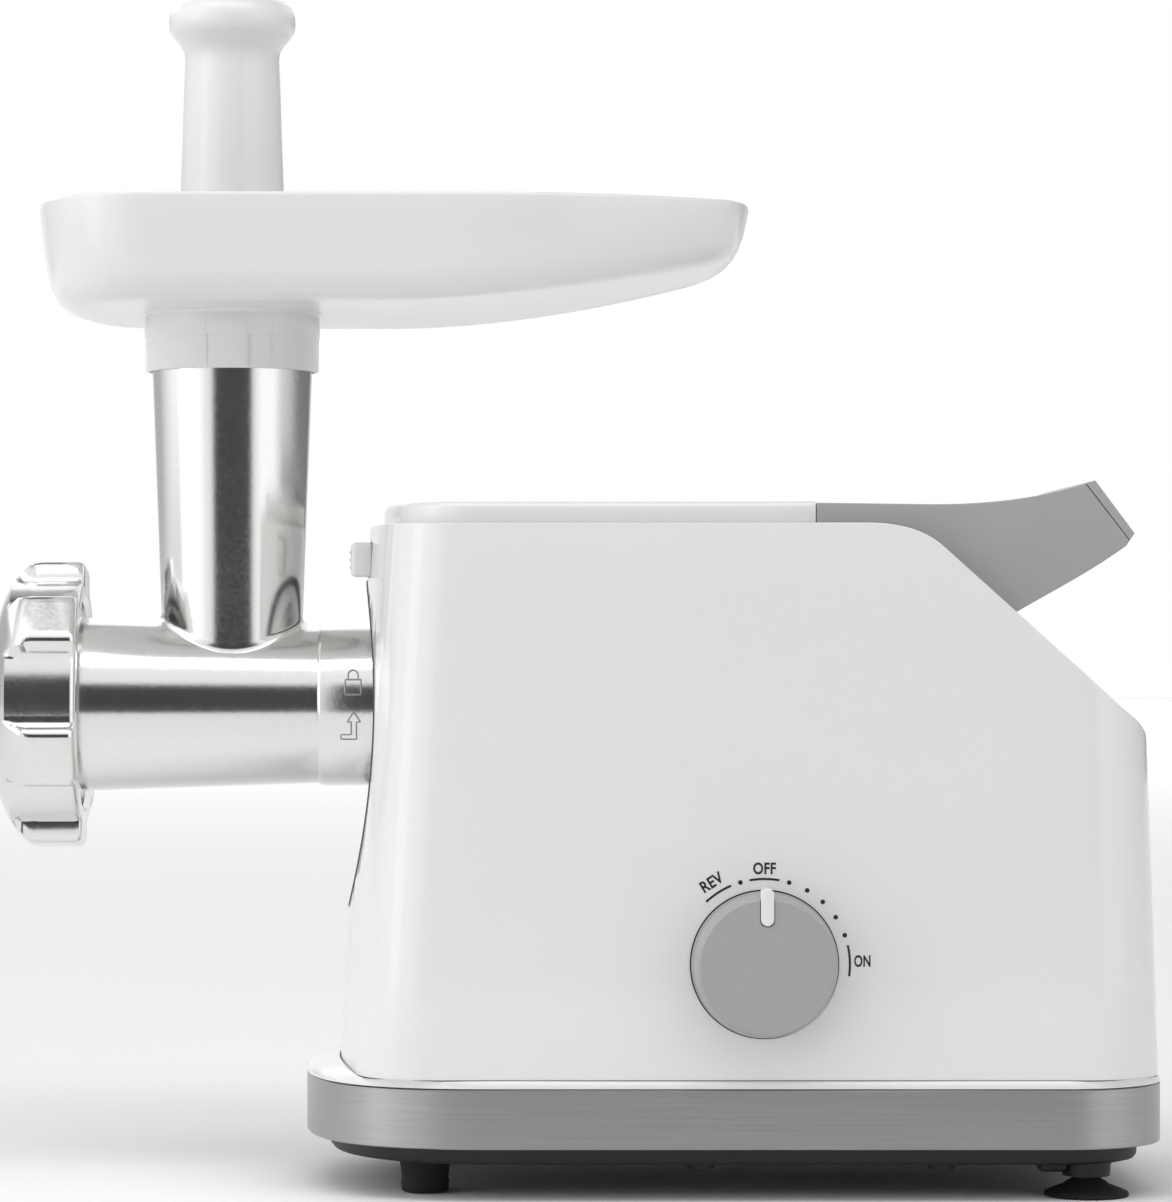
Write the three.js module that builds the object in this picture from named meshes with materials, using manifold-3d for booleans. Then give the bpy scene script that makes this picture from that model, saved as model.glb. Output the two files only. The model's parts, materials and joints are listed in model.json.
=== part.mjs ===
// Electric meat grinder: a motor housing on a steel-banded base, with a turn-in grinding head,
// its tray and pusher. Millimetres, +Z up. The ring nut points to -X and the dial faces -Y.
// The model's origin is the middle of its bounding box in plan, on the surface it stands on.
import * as THREE from "three";
import { mergeVertices } from "three/addons/utils/BufferGeometryUtils.js";
import Module from "manifold-3d";

const wasm = await Module();
wasm.setup();

// ---------------------------------------------------------------- driving dimensions
const gap = 0.3; // clearance between pieces that touch or run on each other
const wall = 2.6; // moulded shells

// heights, from the surface up
const footHeight = 11.4;
const panStep = 6.2; // the black step of the pan that shows below the band
const bandHeight = 20;
const ledgeHeight = 2.4;
const bodyHeight = 186.2;
const axisBelowTop = 61.7; // barrel axis below the top of the housing

// housing
const bodyFront = -79.3; // foot of the front face, on the centre line
const bodyLength = 278.3;
const bodyHalfWidth = 80;
const frontLean = 10.4;
const rearLean = 6.2;
const frontBow = 6;
const frontCorner = 24;
const rearCorner = 25;
const slopeRise = 50.4; // height of the sloping shoulder at the rear
const slopeRun = 56;
const coverHeight = 7.4;
const coverInset = 10;
const coverLength = 146;
const handleOverhang = 8.5; // how far the grip stops short of the rear face

// plinth
const plinthNose = 11.7; // how far it runs out in front of the housing
const plinthTail = 2;
const plinthSide = 1.5;
const plinthCorner = 36;
const bandThickness = 1;

// recess and bayonet socket in the front face
const recessRadius = 57;
const recessBelowAxis = 13.8;
const recessFloor = -60;
const socketRim = 6.5; // socket metal round the lugs

// grinding head
const barrelFlare = 2.7; // how much the barrel widens towards the nut
const barrelRearRadius = 27.7;
const barrelWall = 4.4;
const rearRingStep = 0.8;
const sleeveStep = 2.5; // from the rear ring down to the sleeve in the socket
const rearRingFront = -86;
const mouthWall = 5;
const headFront = -188.7;
const lugHeight = 4.5;
const hopperX = -117.5;
const hopperTopRadius = 28.6;
const hopperFootRadius = 24.1;
const hopperWall = 3;
const hopperHeight = 132.4; // from the barrel axis to the top of the tube

// cutting parts
const plateRadius = 31;
const plateThickness = 5;
const plateHoleRadius = 3.2;
const knifeHalfWidth = 3.6;
const knifeThickness = 5;
const augerPitch = 34;
const pinRadius = 4; // front journal of the auger, and the small shafts

// ring nut
const nutWall = 7.5;
const nutLobeHeight = 6.5;
const nutLength = 30;
const nutLip = 9;
const nutLipOverlap = 5; // how far the lip covers the plate
const nutLobes = 6;
const nutLobeStart = -8; // degrees from straight up to the first lobe

// tray and pusher
const trayFront = -183.7;
const trayLength = 246.7;
const trayHalfWidth = 85;
const trayDepth = 35;
const trayWall = 2.6;
const trayTaper = 6; // how far the walls draw in towards the floor
const trayTailRise = 19;
const collarRadius = 30.4;
const collarHeight = 16;
const collarShoulder = 4; // between the top of the tube and the tray's floor
const pusherTop = 108.1; // above the tray's floor
const pusherBelow = 104; // below the tray's floor
const gripRadius = 22.3;
const waistRadius = 16.5;
const pusherRadius = 20.4;

// dial and button
const dialX = 64.2;
const dialHeight = 79.4;
const dialRadius = 24.5;
const dialFaceRadius = 22.7;
const dialDepth = 16.4;
const pointerWidth = 4.5;
const pointerLength = 12.8;
const dialShaftRadius = 3;
const buttonSize = 12;
const buttonSide = -22; // sideways from the centre line
const buttonBelowTop = 11.5;
const buttonProud = 5.8;
const buttonTravel = 4;
const latchThickness = 2;

// gear train: the barrel axis on top, the layshaft under it and the motor lowest
const outputTeeth = 50;
const outputModule = 1.5;
const layPinionTeeth = 10;
const layTeeth = 54;
const motorModule = 1;
const motorPinionTeeth = 9;
const meshClearance = 0.15;
const outputFaceWidth = 14;
const layFaceWidth = 8;
const caseWall = 3;
const outputShaftRadius = 8;
const bushWall = 3;
const couplingRadius = 16;
const driveSquare = 12;

// motor
const statorRadius = 36;
const statorLength = 52;
const rotorRadius = 22;
const commutatorRadius = 11;
const fanRadius = 31;

// feet
const frontFootX = -49.3;
const frontFootSide = 47;
const frontFootRadius = 8.3;
const rearFootX = 174.5;
const rearFootSide = 58;
const cupRadius = 14.5;
const cupHeight = 4.6;
const legRadius = 8.3;

// ---------------------------------------------------------------- values worked out
const panBottom = footHeight;
const bandBottom = panBottom + panStep;
const bandTop = bandBottom + bandHeight;
const ledgeTop = bandTop + gap + ledgeHeight;
const bodyBottom = ledgeTop + gap;
const bodyTop = bodyBottom + bodyHeight;
const bodyRear = bodyFront + bodyLength;
const axisZ = bodyTop - axisBelowTop;
const recessZ = axisZ - recessBelowAxis;
const coverBottom = bodyTop + gap;
const coverTop = bodyTop + coverHeight;
const coverFront = bodyFront + frontLean + coverInset / 2;
const coverRear = coverFront + coverLength;
const handleRear = bodyRear - handleOverhang;
const plinthFront = bodyFront - plinthNose;
const plinthRear = bodyRear + plinthTail;
const plinthHalfWidth = bodyHalfWidth + plinthSide;
const hopperTop = axisZ + hopperHeight;
const trayFloor = hopperTop + gap + trayWall + collarShoulder;
const trayRim = trayFloor + trayDepth - trayWall;
const trayRear = trayFront + trayLength;
const plateFront = headFront - 1;
const plateRear = plateFront + plateThickness;
const knifeFront = plateRear + gap;
const knifeRear = knifeFront + knifeThickness;
const nutInner = plateFront - gap;
const nutFront = nutInner - nutLip;
const boreRadius = barrelRearRadius - barrelWall;
const barrelFrontRadius = barrelRearRadius + barrelFlare;
const rearRingRadius = barrelRearRadius + rearRingStep;
const sleeveRadius = rearRingRadius - sleeveStep;
const lugRadius = sleeveRadius + lugHeight;
const socketRadius = lugRadius + socketRim;
const mouthRadius = Math.max(plateRadius, boreRadius + 2 * gap) + mouthWall;
const nutValleyRadius = mouthRadius + nutWall;
const nutLobeRadius = nutValleyRadius + nutLobeHeight;
const nutMouthRadius = plateRadius - nutLipOverlap;
const knifeRadius = Math.sqrt((boreRadius - 3 * gap) ** 2 - knifeHalfWidth ** 2);
const dialFaceY = -bodyHalfWidth - dialDepth;
const buttonZ = bodyTop - buttonBelowTop;
const stemHalf = 3;
const springZ = axisZ + 33;
const outputRadius = (outputModule * outputTeeth) / 2;
const layRadius = (motorModule * layTeeth) / 2;
const layZ = axisZ - (outputModule * (outputTeeth + layPinionTeeth)) / 2 - meshClearance;
const motorZ = layZ - (motorModule * (layTeeth + motorPinionTeeth)) / 2 - meshClearance;
const recessBack = recessFloor + wall;
const socketBack = recessBack + 7;
const headRear = socketBack - 1;
const latchFront = socketBack + 2 * gap;
const latchBack = latchFront + latchThickness;
const caseFront = latchBack + buttonTravel + 1;
const caseInner = caseFront + caseWall;
const outputGearFront = caseInner + 3;
const outputGearRear = outputGearFront + outputFaceWidth;
const layGearFront = outputGearRear + 1.5;
const layGearRear = layGearFront + layFaceWidth;
const caseRear = layGearRear + 3;
const coverPlateFront = caseRear + gap;
const coverPlateRear = coverPlateFront + caseWall;
const motorBracketFront = coverPlateRear + gap;
const motorBracketThickness = 6;
const statorFront = motorBracketFront + motorBracketThickness + 12;
const statorRear = statorFront + statorLength;
const rearBracketFront = statorRear + 20;
const rearBracketRear = rearBracketFront + motorBracketThickness;
const fanFront = rearBracketRear + 5;
const fanRear = fanFront + 11;

// ---------------------------------------------------------------- solids
const model = new THREE.Group();

function toSolid(geometry) {
  const loose = geometry.index ? geometry.toNonIndexed() : geometry.clone();
  loose.deleteAttribute("normal");
  loose.deleteAttribute("uv");
  const merged = mergeVertices(loose, 1e-3);
  const triVerts = new Uint32Array(merged.index.array);
  const vertProperties = merged.attributes.position.array;
  const made = new wasm.Manifold(new wasm.Mesh({ numProp: 3, vertProperties, triVerts }));
  if (made.volume() > 0) return made;
  triVerts.reverse();
  return new wasm.Manifold(new wasm.Mesh({ numProp: 3, vertProperties, triVerts }));
}

const join = (first, ...rest) => rest.reduce((all, one) => all.add(one), first);
const cut = (first, ...rest) => rest.reduce((all, one) => all.subtract(one), first);

function box(x0, x1, y0, y1, z0, z1) {
  const block = new THREE.BoxGeometry(x1 - x0, y1 - y0, z1 - z0);
  block.translate((x0 + x1) / 2, (y0 + y1) / 2, (z0 + z1) / 2);
  return toSolid(block);
}

// Round bars along each axis; endRadius is the radius at the far end.
function barX(radius, x0, x1, y, z, sides = 20, endRadius = radius) {
  const bar = new THREE.CylinderGeometry(endRadius, radius, x1 - x0, sides);
  bar.rotateZ(-Math.PI / 2).translate((x0 + x1) / 2, y, z);
  return toSolid(bar);
}
function barY(radius, y0, y1, x, z, sides = 24, endRadius = radius) {
  const bar = new THREE.CylinderGeometry(endRadius, radius, y1 - y0, sides);
  bar.translate(x, (y0 + y1) / 2, z);
  return toSolid(bar);
}
function barZ(radius, z0, z1, x, y, sides = 24, endRadius = radius) {
  const bar = new THREE.CylinderGeometry(endRadius, radius, z1 - z0, sides);
  bar.rotateX(Math.PI / 2).translate(x, y, (z0 + z1) / 2);
  return toSolid(bar);
}

// Turned shapes: profile points are [radius, place along the axis].
function turnedX(profile, y, z, sides) {
  const points = profile.map(([radius, along]) => new THREE.Vector2(radius, along));
  return toSolid(new THREE.LatheGeometry(points, sides).rotateZ(-Math.PI / 2).translate(0, y, z));
}
function turnedZ(profile, x, y, sides) {
  const points = profile.map(([radius, along]) => new THREE.Vector2(radius, along));
  return toSolid(new THREE.LatheGeometry(points, sides).rotateX(Math.PI / 2).translate(x, y, 0));
}

// Prisms: the outline is drawn in plan (X, Y), in side view (X, Z) or in front view (Y, Z).
function prismZ(outline, z0, z1, curveSegments = 8) {
  const options = { depth: z1 - z0, bevelEnabled: false, curveSegments };
  return new THREE.ExtrudeGeometry(outline, options).translate(0, 0, z0);
}
function prismY(outline, y0, y1, curveSegments = 8) {
  const options = { depth: y1 - y0, bevelEnabled: false, curveSegments };
  return new THREE.ExtrudeGeometry(outline, options).rotateX(Math.PI / 2).translate(0, y1, 0);
}
function prismX(outline, x0, x1, curveSegments = 8) {
  const options = { depth: x1 - x0, bevelEnabled: false, curveSegments };
  const prism = new THREE.ExtrudeGeometry(outline, options);
  const turn = new THREE.Matrix4().set(0, 0, 1, x0, 1, 0, 0, 0, 0, 1, 0, 0, 0, 0, 0, 1);
  return prism.applyMatrix4(turn);
}

// Moves every corner of a geometry to where place(x, y, z) says.
function reshape(geometry, place) {
  const corners = geometry.attributes.position;
  for (let i = 0; i < corners.count; i++) {
    corners.setXYZ(i, ...place(corners.getX(i), corners.getY(i), corners.getZ(i)));
  }
  return geometry;
}

const finishes = {
  white: { color: 0xe9ebe9, roughness: 0.25, metalness: 0 },
  grey: { color: 0x9c9b99, roughness: 0.4, metalness: 0.1 },
  black: { color: 0x22211e, roughness: 0.5, metalness: 0 },
  rubber: { color: 0x191918, roughness: 0.8, metalness: 0 },
  casting: { color: 0xc9cac8, roughness: 0.25, metalness: 1 },
  band: { color: 0x9a9a99, roughness: 0.35, metalness: 1 },
  steel: { color: 0xa9aaac, roughness: 0.3, metalness: 1 },
  bronze: { color: 0x9a7a48, roughness: 0.5, metalness: 0.9 },
  copper: { color: 0xa8642f, roughness: 0.4, metalness: 1 },
  nylon: { color: 0xd9d4c4, roughness: 0.5, metalness: 0 },
  carbon: { color: 0x2a2a2b, roughness: 0.7, metalness: 0.2 },
  board: { color: 0x2f6b3c, roughness: 0.6, metalness: 0 },
};

function piece(name, solid, finish) {
  const { vertProperties, triVerts } = solid.getMesh();
  const shape = new THREE.BufferGeometry();
  shape.setAttribute("position", new THREE.BufferAttribute(vertProperties, 3));
  shape.setIndex(new THREE.BufferAttribute(triVerts, 1));
  shape.computeVertexNormals();
  const mesh = new THREE.Mesh(shape, new THREE.MeshStandardMaterial(finishes[finish]));
  mesh.name = name;
  model.add(mesh);
}

// ---------------------------------------------------------------- outlines
// Housing in plan: bowed front, round corners, flat rear. inset draws it in all round.
function housingPlan(front, rear, halfWidth, inset = 0) {
  const x0 = front + inset;
  const x1 = rear - inset;
  const side = halfWidth - inset;
  const cornerY = side - frontCorner;
  const outline = new THREE.Shape();
  outline.moveTo(x0, 0);
  outline.quadraticCurveTo(x0, -cornerY / 2, x0 + frontBow, -cornerY);
  outline.bezierCurveTo(x0 + frontBow * 1.5, -side + 9, x0 + 18, -side, x0 + 31, -side);
  outline.lineTo(x1 - rearCorner, -side);
  outline.absarc(x1 - rearCorner, -side + rearCorner, rearCorner, -Math.PI / 2, 0, false);
  outline.lineTo(x1, side - rearCorner);
  outline.absarc(x1 - rearCorner, side - rearCorner, rearCorner, 0, Math.PI / 2, false);
  outline.lineTo(x0 + 31, side);
  outline.bezierCurveTo(x0 + 18, side, x0 + frontBow * 1.5, side - 9, x0 + frontBow, cornerY);
  outline.quadraticCurveTo(x0, cornerY / 2, x0, 0);
  return outline;
}

// Housing in side view: flat top, sloping shoulder, leaning rear.
function housingSide(inset = 0) {
  const top = bodyTop - inset;
  const rear = bodyRear - inset;
  const slopeX = bodyRear - 75 - inset * 0.67;
  const slopeZ = bodyTop - 7.9 - inset * 0.74;
  const outline = new THREE.Shape();
  outline.moveTo(bodyFront - 50, 0);
  outline.lineTo(rear + 20, 0);
  outline.lineTo(rear - 3.6, bodyTop - slopeRise - 24 - inset);
  outline.quadraticCurveTo(rear - 6, slopeZ - slopeRise - 6, slopeX + slopeRun, slopeZ - slopeRise);
  outline.lineTo(slopeX, slopeZ);
  outline.quadraticCurveTo(slopeX - 8.4, top, slopeX - 23, top);
  outline.lineTo(bodyFront - 50, top);
  outline.closePath();
  return outline;
}

// Plinth in plan: blunt rounded nose, round rear corners.
function plinthPlan(inset = 0) {
  const x0 = plinthFront + inset;
  const x1 = plinthRear - inset;
  const side = plinthHalfWidth - inset;
  const corner = plinthCorner - inset;
  const outline = new THREE.Shape();
  outline.moveTo(x0, 0);
  outline.bezierCurveTo(x0, -side * 0.62, x0 + 16, -side, x0 + 62, -side);
  outline.lineTo(x1 - corner, -side);
  outline.absarc(x1 - corner, -side + corner, corner, -Math.PI / 2, 0, false);
  outline.lineTo(x1, side - corner);
  outline.absarc(x1 - corner, side - corner, corner, 0, Math.PI / 2, false);
  outline.lineTo(x0 + 62, side);
  outline.bezierCurveTo(x0 + 16, side, x0, side * 0.62, x0, 0);
  return outline;
}

// Leans the front and rear faces in from bottom to top.
function leaning(geometry) {
  const middle = (bodyFront + bodyRear) / 2;
  return reshape(geometry, (x, y, z) => {
    const rise = (z - bodyBottom) / bodyHeight;
    const shift = x < middle ? frontLean * rise : -rearLean * rise;
    return [x + shift, y, z];
  });
}

// ---------------------------------------------------------------- housing and base
function housingBlock(inset, z0, z1) {
  const plan = housingPlan(bodyFront, bodyRear, bodyHalfWidth, inset);
  const upright = toSolid(leaning(prismZ(plan, z0, z1, 4)));
  const side = toSolid(prismY(housingSide(inset), -bodyHalfWidth - 5, bodyHalfWidth + 5, 4));
  return upright.intersect(side);
}

function makeHousing() {
  const outer = housingBlock(0, bodyBottom, bodyTop);
  const inner = housingBlock(wall, bodyBottom - 5, bodyTop - wall + 1);
  const front = bodyFront - 20;
  const recessCup = barX(recessRadius + wall, front, recessBack, 0, recessZ, 32).intersect(outer);
  const recess = barX(recessRadius, front, recessFloor, 0, recessZ, 32);
  const socketHole = barX(socketRadius - 4, recessFloor - 5, recessBack + 5, 0, axisZ, 24);
  const half = buttonSize / 2 + gap;
  const buttonHole = box(front, recessBack - 1, buttonSide - half, buttonSide + half,
    buttonZ - half, buttonZ + half);
  const guideDepth = box(recessFloor - 4, recessBack, buttonSide - half - wall, buttonSide + half + wall,
    buttonZ - half - wall, buttonZ + half + wall).intersect(outer);
  const dialHole = barY(dialShaftRadius + gap, -bodyHalfWidth - 5, -bodyHalfWidth + 5, dialX, dialHeight, 12);
  const inletHole = box(bodyRear - 12, bodyRear + 5, 30 - gap, 54 + gap, bodyBottom + 8 - gap,
    bodyBottom + 24 + gap);
  const stemHole = box(front, recessBack + 5, buttonSide - stemHalf - gap, buttonSide + stemHalf + gap,
    buttonZ - stemHalf - gap, buttonZ + stemHalf + gap);
  const shell = join(cut(outer, inner), recessCup, guideDepth);
  return cut(shell, recess, socketHole, buttonHole, stemHole, dialHole, inletHole);
}

function makeTopCover() {
  const halfWidth = bodyHalfWidth - coverInset;
  const plan = housingPlan(coverFront, bodyRear, halfWidth);
  const under = housingPlan(coverFront, bodyRear, halfWidth, wall);
  const seam = box(coverFront - 5, coverRear, -halfWidth - 5, halfWidth + 5, 0, coverTop + 5);
  const hollow = box(coverFront - 5, coverRear - wall, -halfWidth, halfWidth, 0, coverTop + 5);
  const plate = toSolid(prismZ(plan, coverBottom, coverTop, 4)).intersect(seam);
  const room = toSolid(prismZ(under, coverBottom - 5, coverTop - wall, 4)).intersect(hollow);
  return cut(plate, room);
}

function makeHandle() {
  const halfWidth = bodyHalfWidth - coverInset;
  const start = coverRear + gap;
  const tipX = handleRear - 14;
  const outline = new THREE.Shape();
  outline.moveTo(start, coverBottom);
  outline.lineTo(bodyRear - 99, coverBottom);
  outline.quadraticCurveTo(bodyRear - 83, coverBottom, bodyRear - 74.6, bodyTop - 7.6);
  outline.lineTo(bodyRear - 49.6, bodyTop - 30);
  outline.quadraticCurveTo(handleRear - 20, bodyTop - 19.6, handleRear - 3, coverTop - 14.6);
  outline.lineTo(handleRear, coverTop - 10.6);
  outline.lineTo(tipX, coverTop + 7.2);
  outline.quadraticCurveTo(tipX - 22, coverTop, start + 38, coverTop - 1);
  outline.lineTo(start, coverTop - 0.6);
  outline.closePath();
  // The end face cuts the plan short of its round corners.
  const plan = housingPlan(bodyFront, handleRear + 7, halfWidth);
  const blank = toSolid(prismY(outline, -halfWidth - 2, halfWidth + 2, 5));
  const rounded = blank.intersect(toSolid(prismZ(plan, 0, coverTop + 20, 4)));
  const opening = box(handleRear - 78.5, handleRear - 30.5, -halfWidth + 14, halfWidth - 14,
    0, coverTop + 20);
  return cut(rounded, opening);
}

function makeLedge() {
  const skirt = toSolid(prismZ(plinthPlan(), bandTop + gap, ledgeTop, 5));
  const inside = housingPlan(bodyFront, bodyRear, bodyHalfWidth, 9);
  return cut(skirt, toSolid(prismZ(inside, bandTop - 5, ledgeTop + 5, 4)));
}

function makeBand() {
  const outer = toSolid(prismZ(plinthPlan(), bandBottom, bandTop, 5));
  const inner = toSolid(prismZ(plinthPlan(bandThickness), bandBottom - 5, bandTop + 5, 5));
  return cut(outer, inner);
}

const screwPlaces = [[plinthFront + 135, 62], [plinthFront + 216, 62]];
const feetSides = [["dial_side", -1], ["plain_side", 1]];

function makePan() {
  const upper = toSolid(prismZ(plinthPlan(bandThickness + gap), bandBottom + gap, bandTop, 5));
  const lower = toSolid(prismZ(plinthPlan(8), panBottom, bandBottom + 2, 5));
  const room = toSolid(prismZ(plinthPlan(8 + wall), panBottom + wall, bandTop + 5, 5));
  let pan = cut(join(upper, lower), room);
  for (const [, side] of feetSides) {
    const y = side * rearFootSide;
    pan = join(pan, barZ(legRadius, cupHeight + 2, panBottom + wall, rearFootX, y, 14));
    pan = cut(pan, barZ(legRadius - 3, cupHeight, panBottom - 2, rearFootX, y, 12));
    pan = join(pan, barZ(6, panBottom, panBottom + 8, frontFootX, side * frontFootSide, 12));
    pan = cut(pan, barZ(3.2, panBottom - 5, panBottom + 5, frontFootX, side * frontFootSide, 10));
    for (const [x, y0] of screwPlaces) {
      pan = join(pan, barZ(5, panBottom - 1.6, bandBottom, x, side * y0, 8));
      pan = cut(pan, barZ(3.4, panBottom - 5, panBottom + 1.4, x, side * y0, 8));
      pan = cut(pan, barZ(1.8, panBottom - 5, bandBottom + 5, x, side * y0, 8));
    }
  }
  for (let i = 0; i < 5; i++) {
    const x = 90 + i * 11;
    pan = cut(pan, box(x, x + 4, -28, 28, panBottom - 5, panBottom + wall + 1));
  }
  const pillar = box(rearBracketFront, rearBracketRear, -14, 14, panBottom + 1, motorZ - statorRadius);
  const caseFoot = box(caseFront + 4, caseRear - 4, -10, 10, panBottom + 1, motorZ - 16 - gap);
  const post = barZ(3, panBottom + 1, bandTop - 6, 150, 0, 10);
  return join(pan, pillar, caseFoot, post);
}

function makeScrew(x, y) {
  const head = barZ(3, panBottom - 0.6, panBottom + 1.4 - gap, x, y, 8);
  return join(head, barZ(1.4, panBottom, bandBottom - 1, x, y, 6));
}

function makeFrontFoot(y) {
  const leg = [[0, 0], [frontFootRadius, 0], [frontFootRadius, 5], [frontFootRadius - 0.3, 5.6],
    [frontFootRadius + 0.6, panBottom - gap], [2.8, panBottom - gap], [2.8, panBottom + 4],
    [0, panBottom + 4]];
  return turnedZ(leg, frontFootX, y, 14);
}

function makeSuctionFoot(y) {
  const rim = cupHeight;
  const cup = [[0, 1.6], [5, 1.5], [cupRadius - 1.6, 0], [cupRadius, 0], [cupRadius - 1.2, rim - 2.6],
    [7, rim], [5, rim + 1.4], [legRadius - 3.4, rim + 1.8], [legRadius - 3.4, panBottom - 2.4],
    [0, panBottom - 2.4]];
  return turnedZ(cup, rearFootX, y, 18);
}

function makeInlet() {
  const z = bodyBottom + 8;
  const plug = box(bodyRear - 11, bodyRear - 0.6, 30, 54, z, z + 16);
  const flange = box(bodyRear - 9.5, bodyRear - 7, 26, 58, z - 4, z + 20);
  return cut(join(plug, flange), box(bodyRear - 8, bodyRear + 2, 34, 50, z + 4, z + 12));
}

piece("main_housing", makeHousing(), "white");
piece("top_cover", makeTopCover(), "white");
piece("carry_handle", makeHandle(), "grey");
piece("base_ledge", makeLedge(), "white");
piece("base_band", makeBand(), "band");
piece("bottom_pan", makePan(), "black");
piece("lead_inlet", makeInlet(), "black");
for (const [name, side] of feetSides) {
  piece("front_foot_" + name, makeFrontFoot(side * frontFootSide), "rubber");
  piece("suction_foot_" + name, makeSuctionFoot(side * rearFootSide), "rubber");
  screwPlaces.forEach(([x, y], i) => {
    piece("pan_screw_" + (i + 1) + "_" + name, makeScrew(x, side * y), "steel");
  });
}

// ---------------------------------------------------------------- socket for the head
const lugAngles = [90, 210, 330];
const lugHalfAngle = 17;
const keyTurn = 60; // the key slots lie this far round from the seated lugs
const latchRadius = sleeveRadius - 1.6;
const latchPinRadius = 2;
const latchAngle = 90;
const latchBite = 3;
const headTurn = 36; // degrees from seated to unlocked
const rad = Math.PI / 180;

// A wedge of an annulus in front view, about the barrel axis.
function sector(radius, centre, half, x0, x1) {
  const from = (centre - half) * rad;
  const outline = new THREE.Shape();
  outline.moveTo(0, axisZ);
  outline.lineTo(radius * Math.cos(from), axisZ + radius * Math.sin(from));
  outline.absarc(0, axisZ, radius, from, (centre + half) * rad, false);
  outline.closePath();
  return toSolid(prismX(outline, x0, x1, 3));
}

function makeSocket() {
  const lip = barX(socketRadius - 4 - gap, recessFloor - 5, recessBack + gap, 0, axisZ, 24);
  const flange = barX(socketRadius + 3, recessBack + gap, socketBack, 0, axisZ, 24);
  const throat = barX(rearRingRadius + gap, recessFloor - 6, recessFloor, 0, axisZ, 24);
  const passage = barX(sleeveRadius + gap, recessFloor - 1, socketBack + 1, 0, axisZ, 24);
  const chamber = barX(lugRadius + gap, recessBack + 0.5, socketBack + 1, 0, axisZ, 24);
  const keys = lugAngles.map((a) =>
    sector(lugRadius + gap, a + keyTurn, lugHalfAngle + 2, recessFloor - 6, recessBack + 1));
  return cut(join(lip, flange), throat, passage, chamber, ...keys);
}

function makeGasket() {
  const ring = barX(recessRadius - gap, recessFloor - 2, recessFloor - gap, 0, recessZ, 32);
  return cut(ring, barX(recessRadius - 3.5, recessFloor - 5, recessFloor + 5, 0, recessZ, 32));
}

piece("head_socket", makeSocket(), "casting");
piece("recess_gasket", makeGasket(), "rubber");

// ---------------------------------------------------------------- grinding head
function makeHead() {
  const rear = headRear;
  const tubeLow = axisZ + 10;
  const skin = [[0, headFront], [mouthRadius - 1, headFront], [mouthRadius, headFront + 1],
    [mouthRadius, headFront + 14], [barrelFrontRadius, headFront + 20],
    [barrelRearRadius, rearRingFront - 1], [rearRingRadius, rearRingFront],
    [rearRingRadius, recessFloor - gap], [sleeveRadius, recessFloor - gap], [sleeveRadius, rear], [0, rear]];
  const barrel = turnedX(skin, 0, axisZ, 28);
  const tube = barZ(hopperFootRadius, tubeLow, hopperTop, hopperX, 0, 24, hopperTopRadius);
  const lugs = lugAngles.map((a) =>
    sector(lugRadius, a, lugHalfAngle, recessBack + 1, rear - 0.5));
  const bore = barX(boreRadius, headFront + 4, rearRingFront, 0, axisZ, 28);
  const seat = barX(plateRadius + gap, headFront - 2, plateRear + gap, 0, axisZ, 28);
  const journal = barX(9, rearRingFront - 1, rear, 0, axisZ, 16);
  const couplingRoom = barX(couplingRadius + 1, rearRingFront + 15, rear + 5, 0, axisZ, 20);
  const throat = barZ(hopperFootRadius - hopperWall, axisZ, hopperTop + 5, hopperX, 0, 24,
    hopperTopRadius - hopperWall);
  const half = headTurn / 2;
  const sweep = sector(sleeveRadius + 1, latchAngle - half, half + 7, rear - latchBite - 1, rear + 5);
  const latchSlot = cut(sweep, barX(latchRadius - latchPinRadius - 0.6, rear - 10, rear + 10, 0, axisZ, 24));
  const solid = join(barrel, tube, ...lugs);
  return cut(solid, bore, seat, journal, couplingRoom, throat, latchSlot);
}

piece("grinder_head", makeHead(), "casting");

// ---------------------------------------------------------------- cutting parts
// A screw flight: a round core with one fin, twisted along the barrel axis.
function makeAuger() {
  const start = knifeRear + gap;
  const end = rearRingFront - 3;
  const core = 10;
  const flight = boreRadius - 0.5;
  const finHalf = 26 * rad;
  const outline = new THREE.Shape();
  outline.moveTo(core * Math.cos(finHalf * 1.6), core * Math.sin(finHalf * 1.6));
  outline.absarc(0, 0, core, finHalf * 1.6, Math.PI * 2 - finHalf * 1.6, false);
  outline.lineTo(flight * Math.cos(finHalf * 0.5), -flight * Math.sin(finHalf * 0.5));
  outline.absarc(0, 0, flight, -finHalf * 0.5, finHalf * 0.5, false);
  outline.closePath();
  const steps = Math.round(((end - start) / augerPitch) * 10);
  const options = { depth: end - start, steps, bevelEnabled: false, curveSegments: 4 };
  const straight = new THREE.ExtrudeGeometry(outline, options);
  const twisted = reshape(straight, (y, z, along) => {
    const turn = (along / augerPitch) * Math.PI * 2;
    const c = Math.cos(turn);
    const s = Math.sin(turn);
    return [start + along, y * c - z * s, axisZ + y * s + z * c];
  });
  const square = 4.5;
  const half = driveSquare / 2;
  return join(
    toSolid(twisted),
    box(knifeFront, start + 1, -square, square, axisZ - square, axisZ + square),
    barX(pinRadius, plateFront - 1.5, start, 0, axisZ, 16),
    barX(9 - gap, end - 1, rearRingFront + 15.5, 0, axisZ, 20),
    box(rearRingFront + 15, recessFloor + 2, -half, half, axisZ - half, axisZ + half),
  );
}

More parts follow.
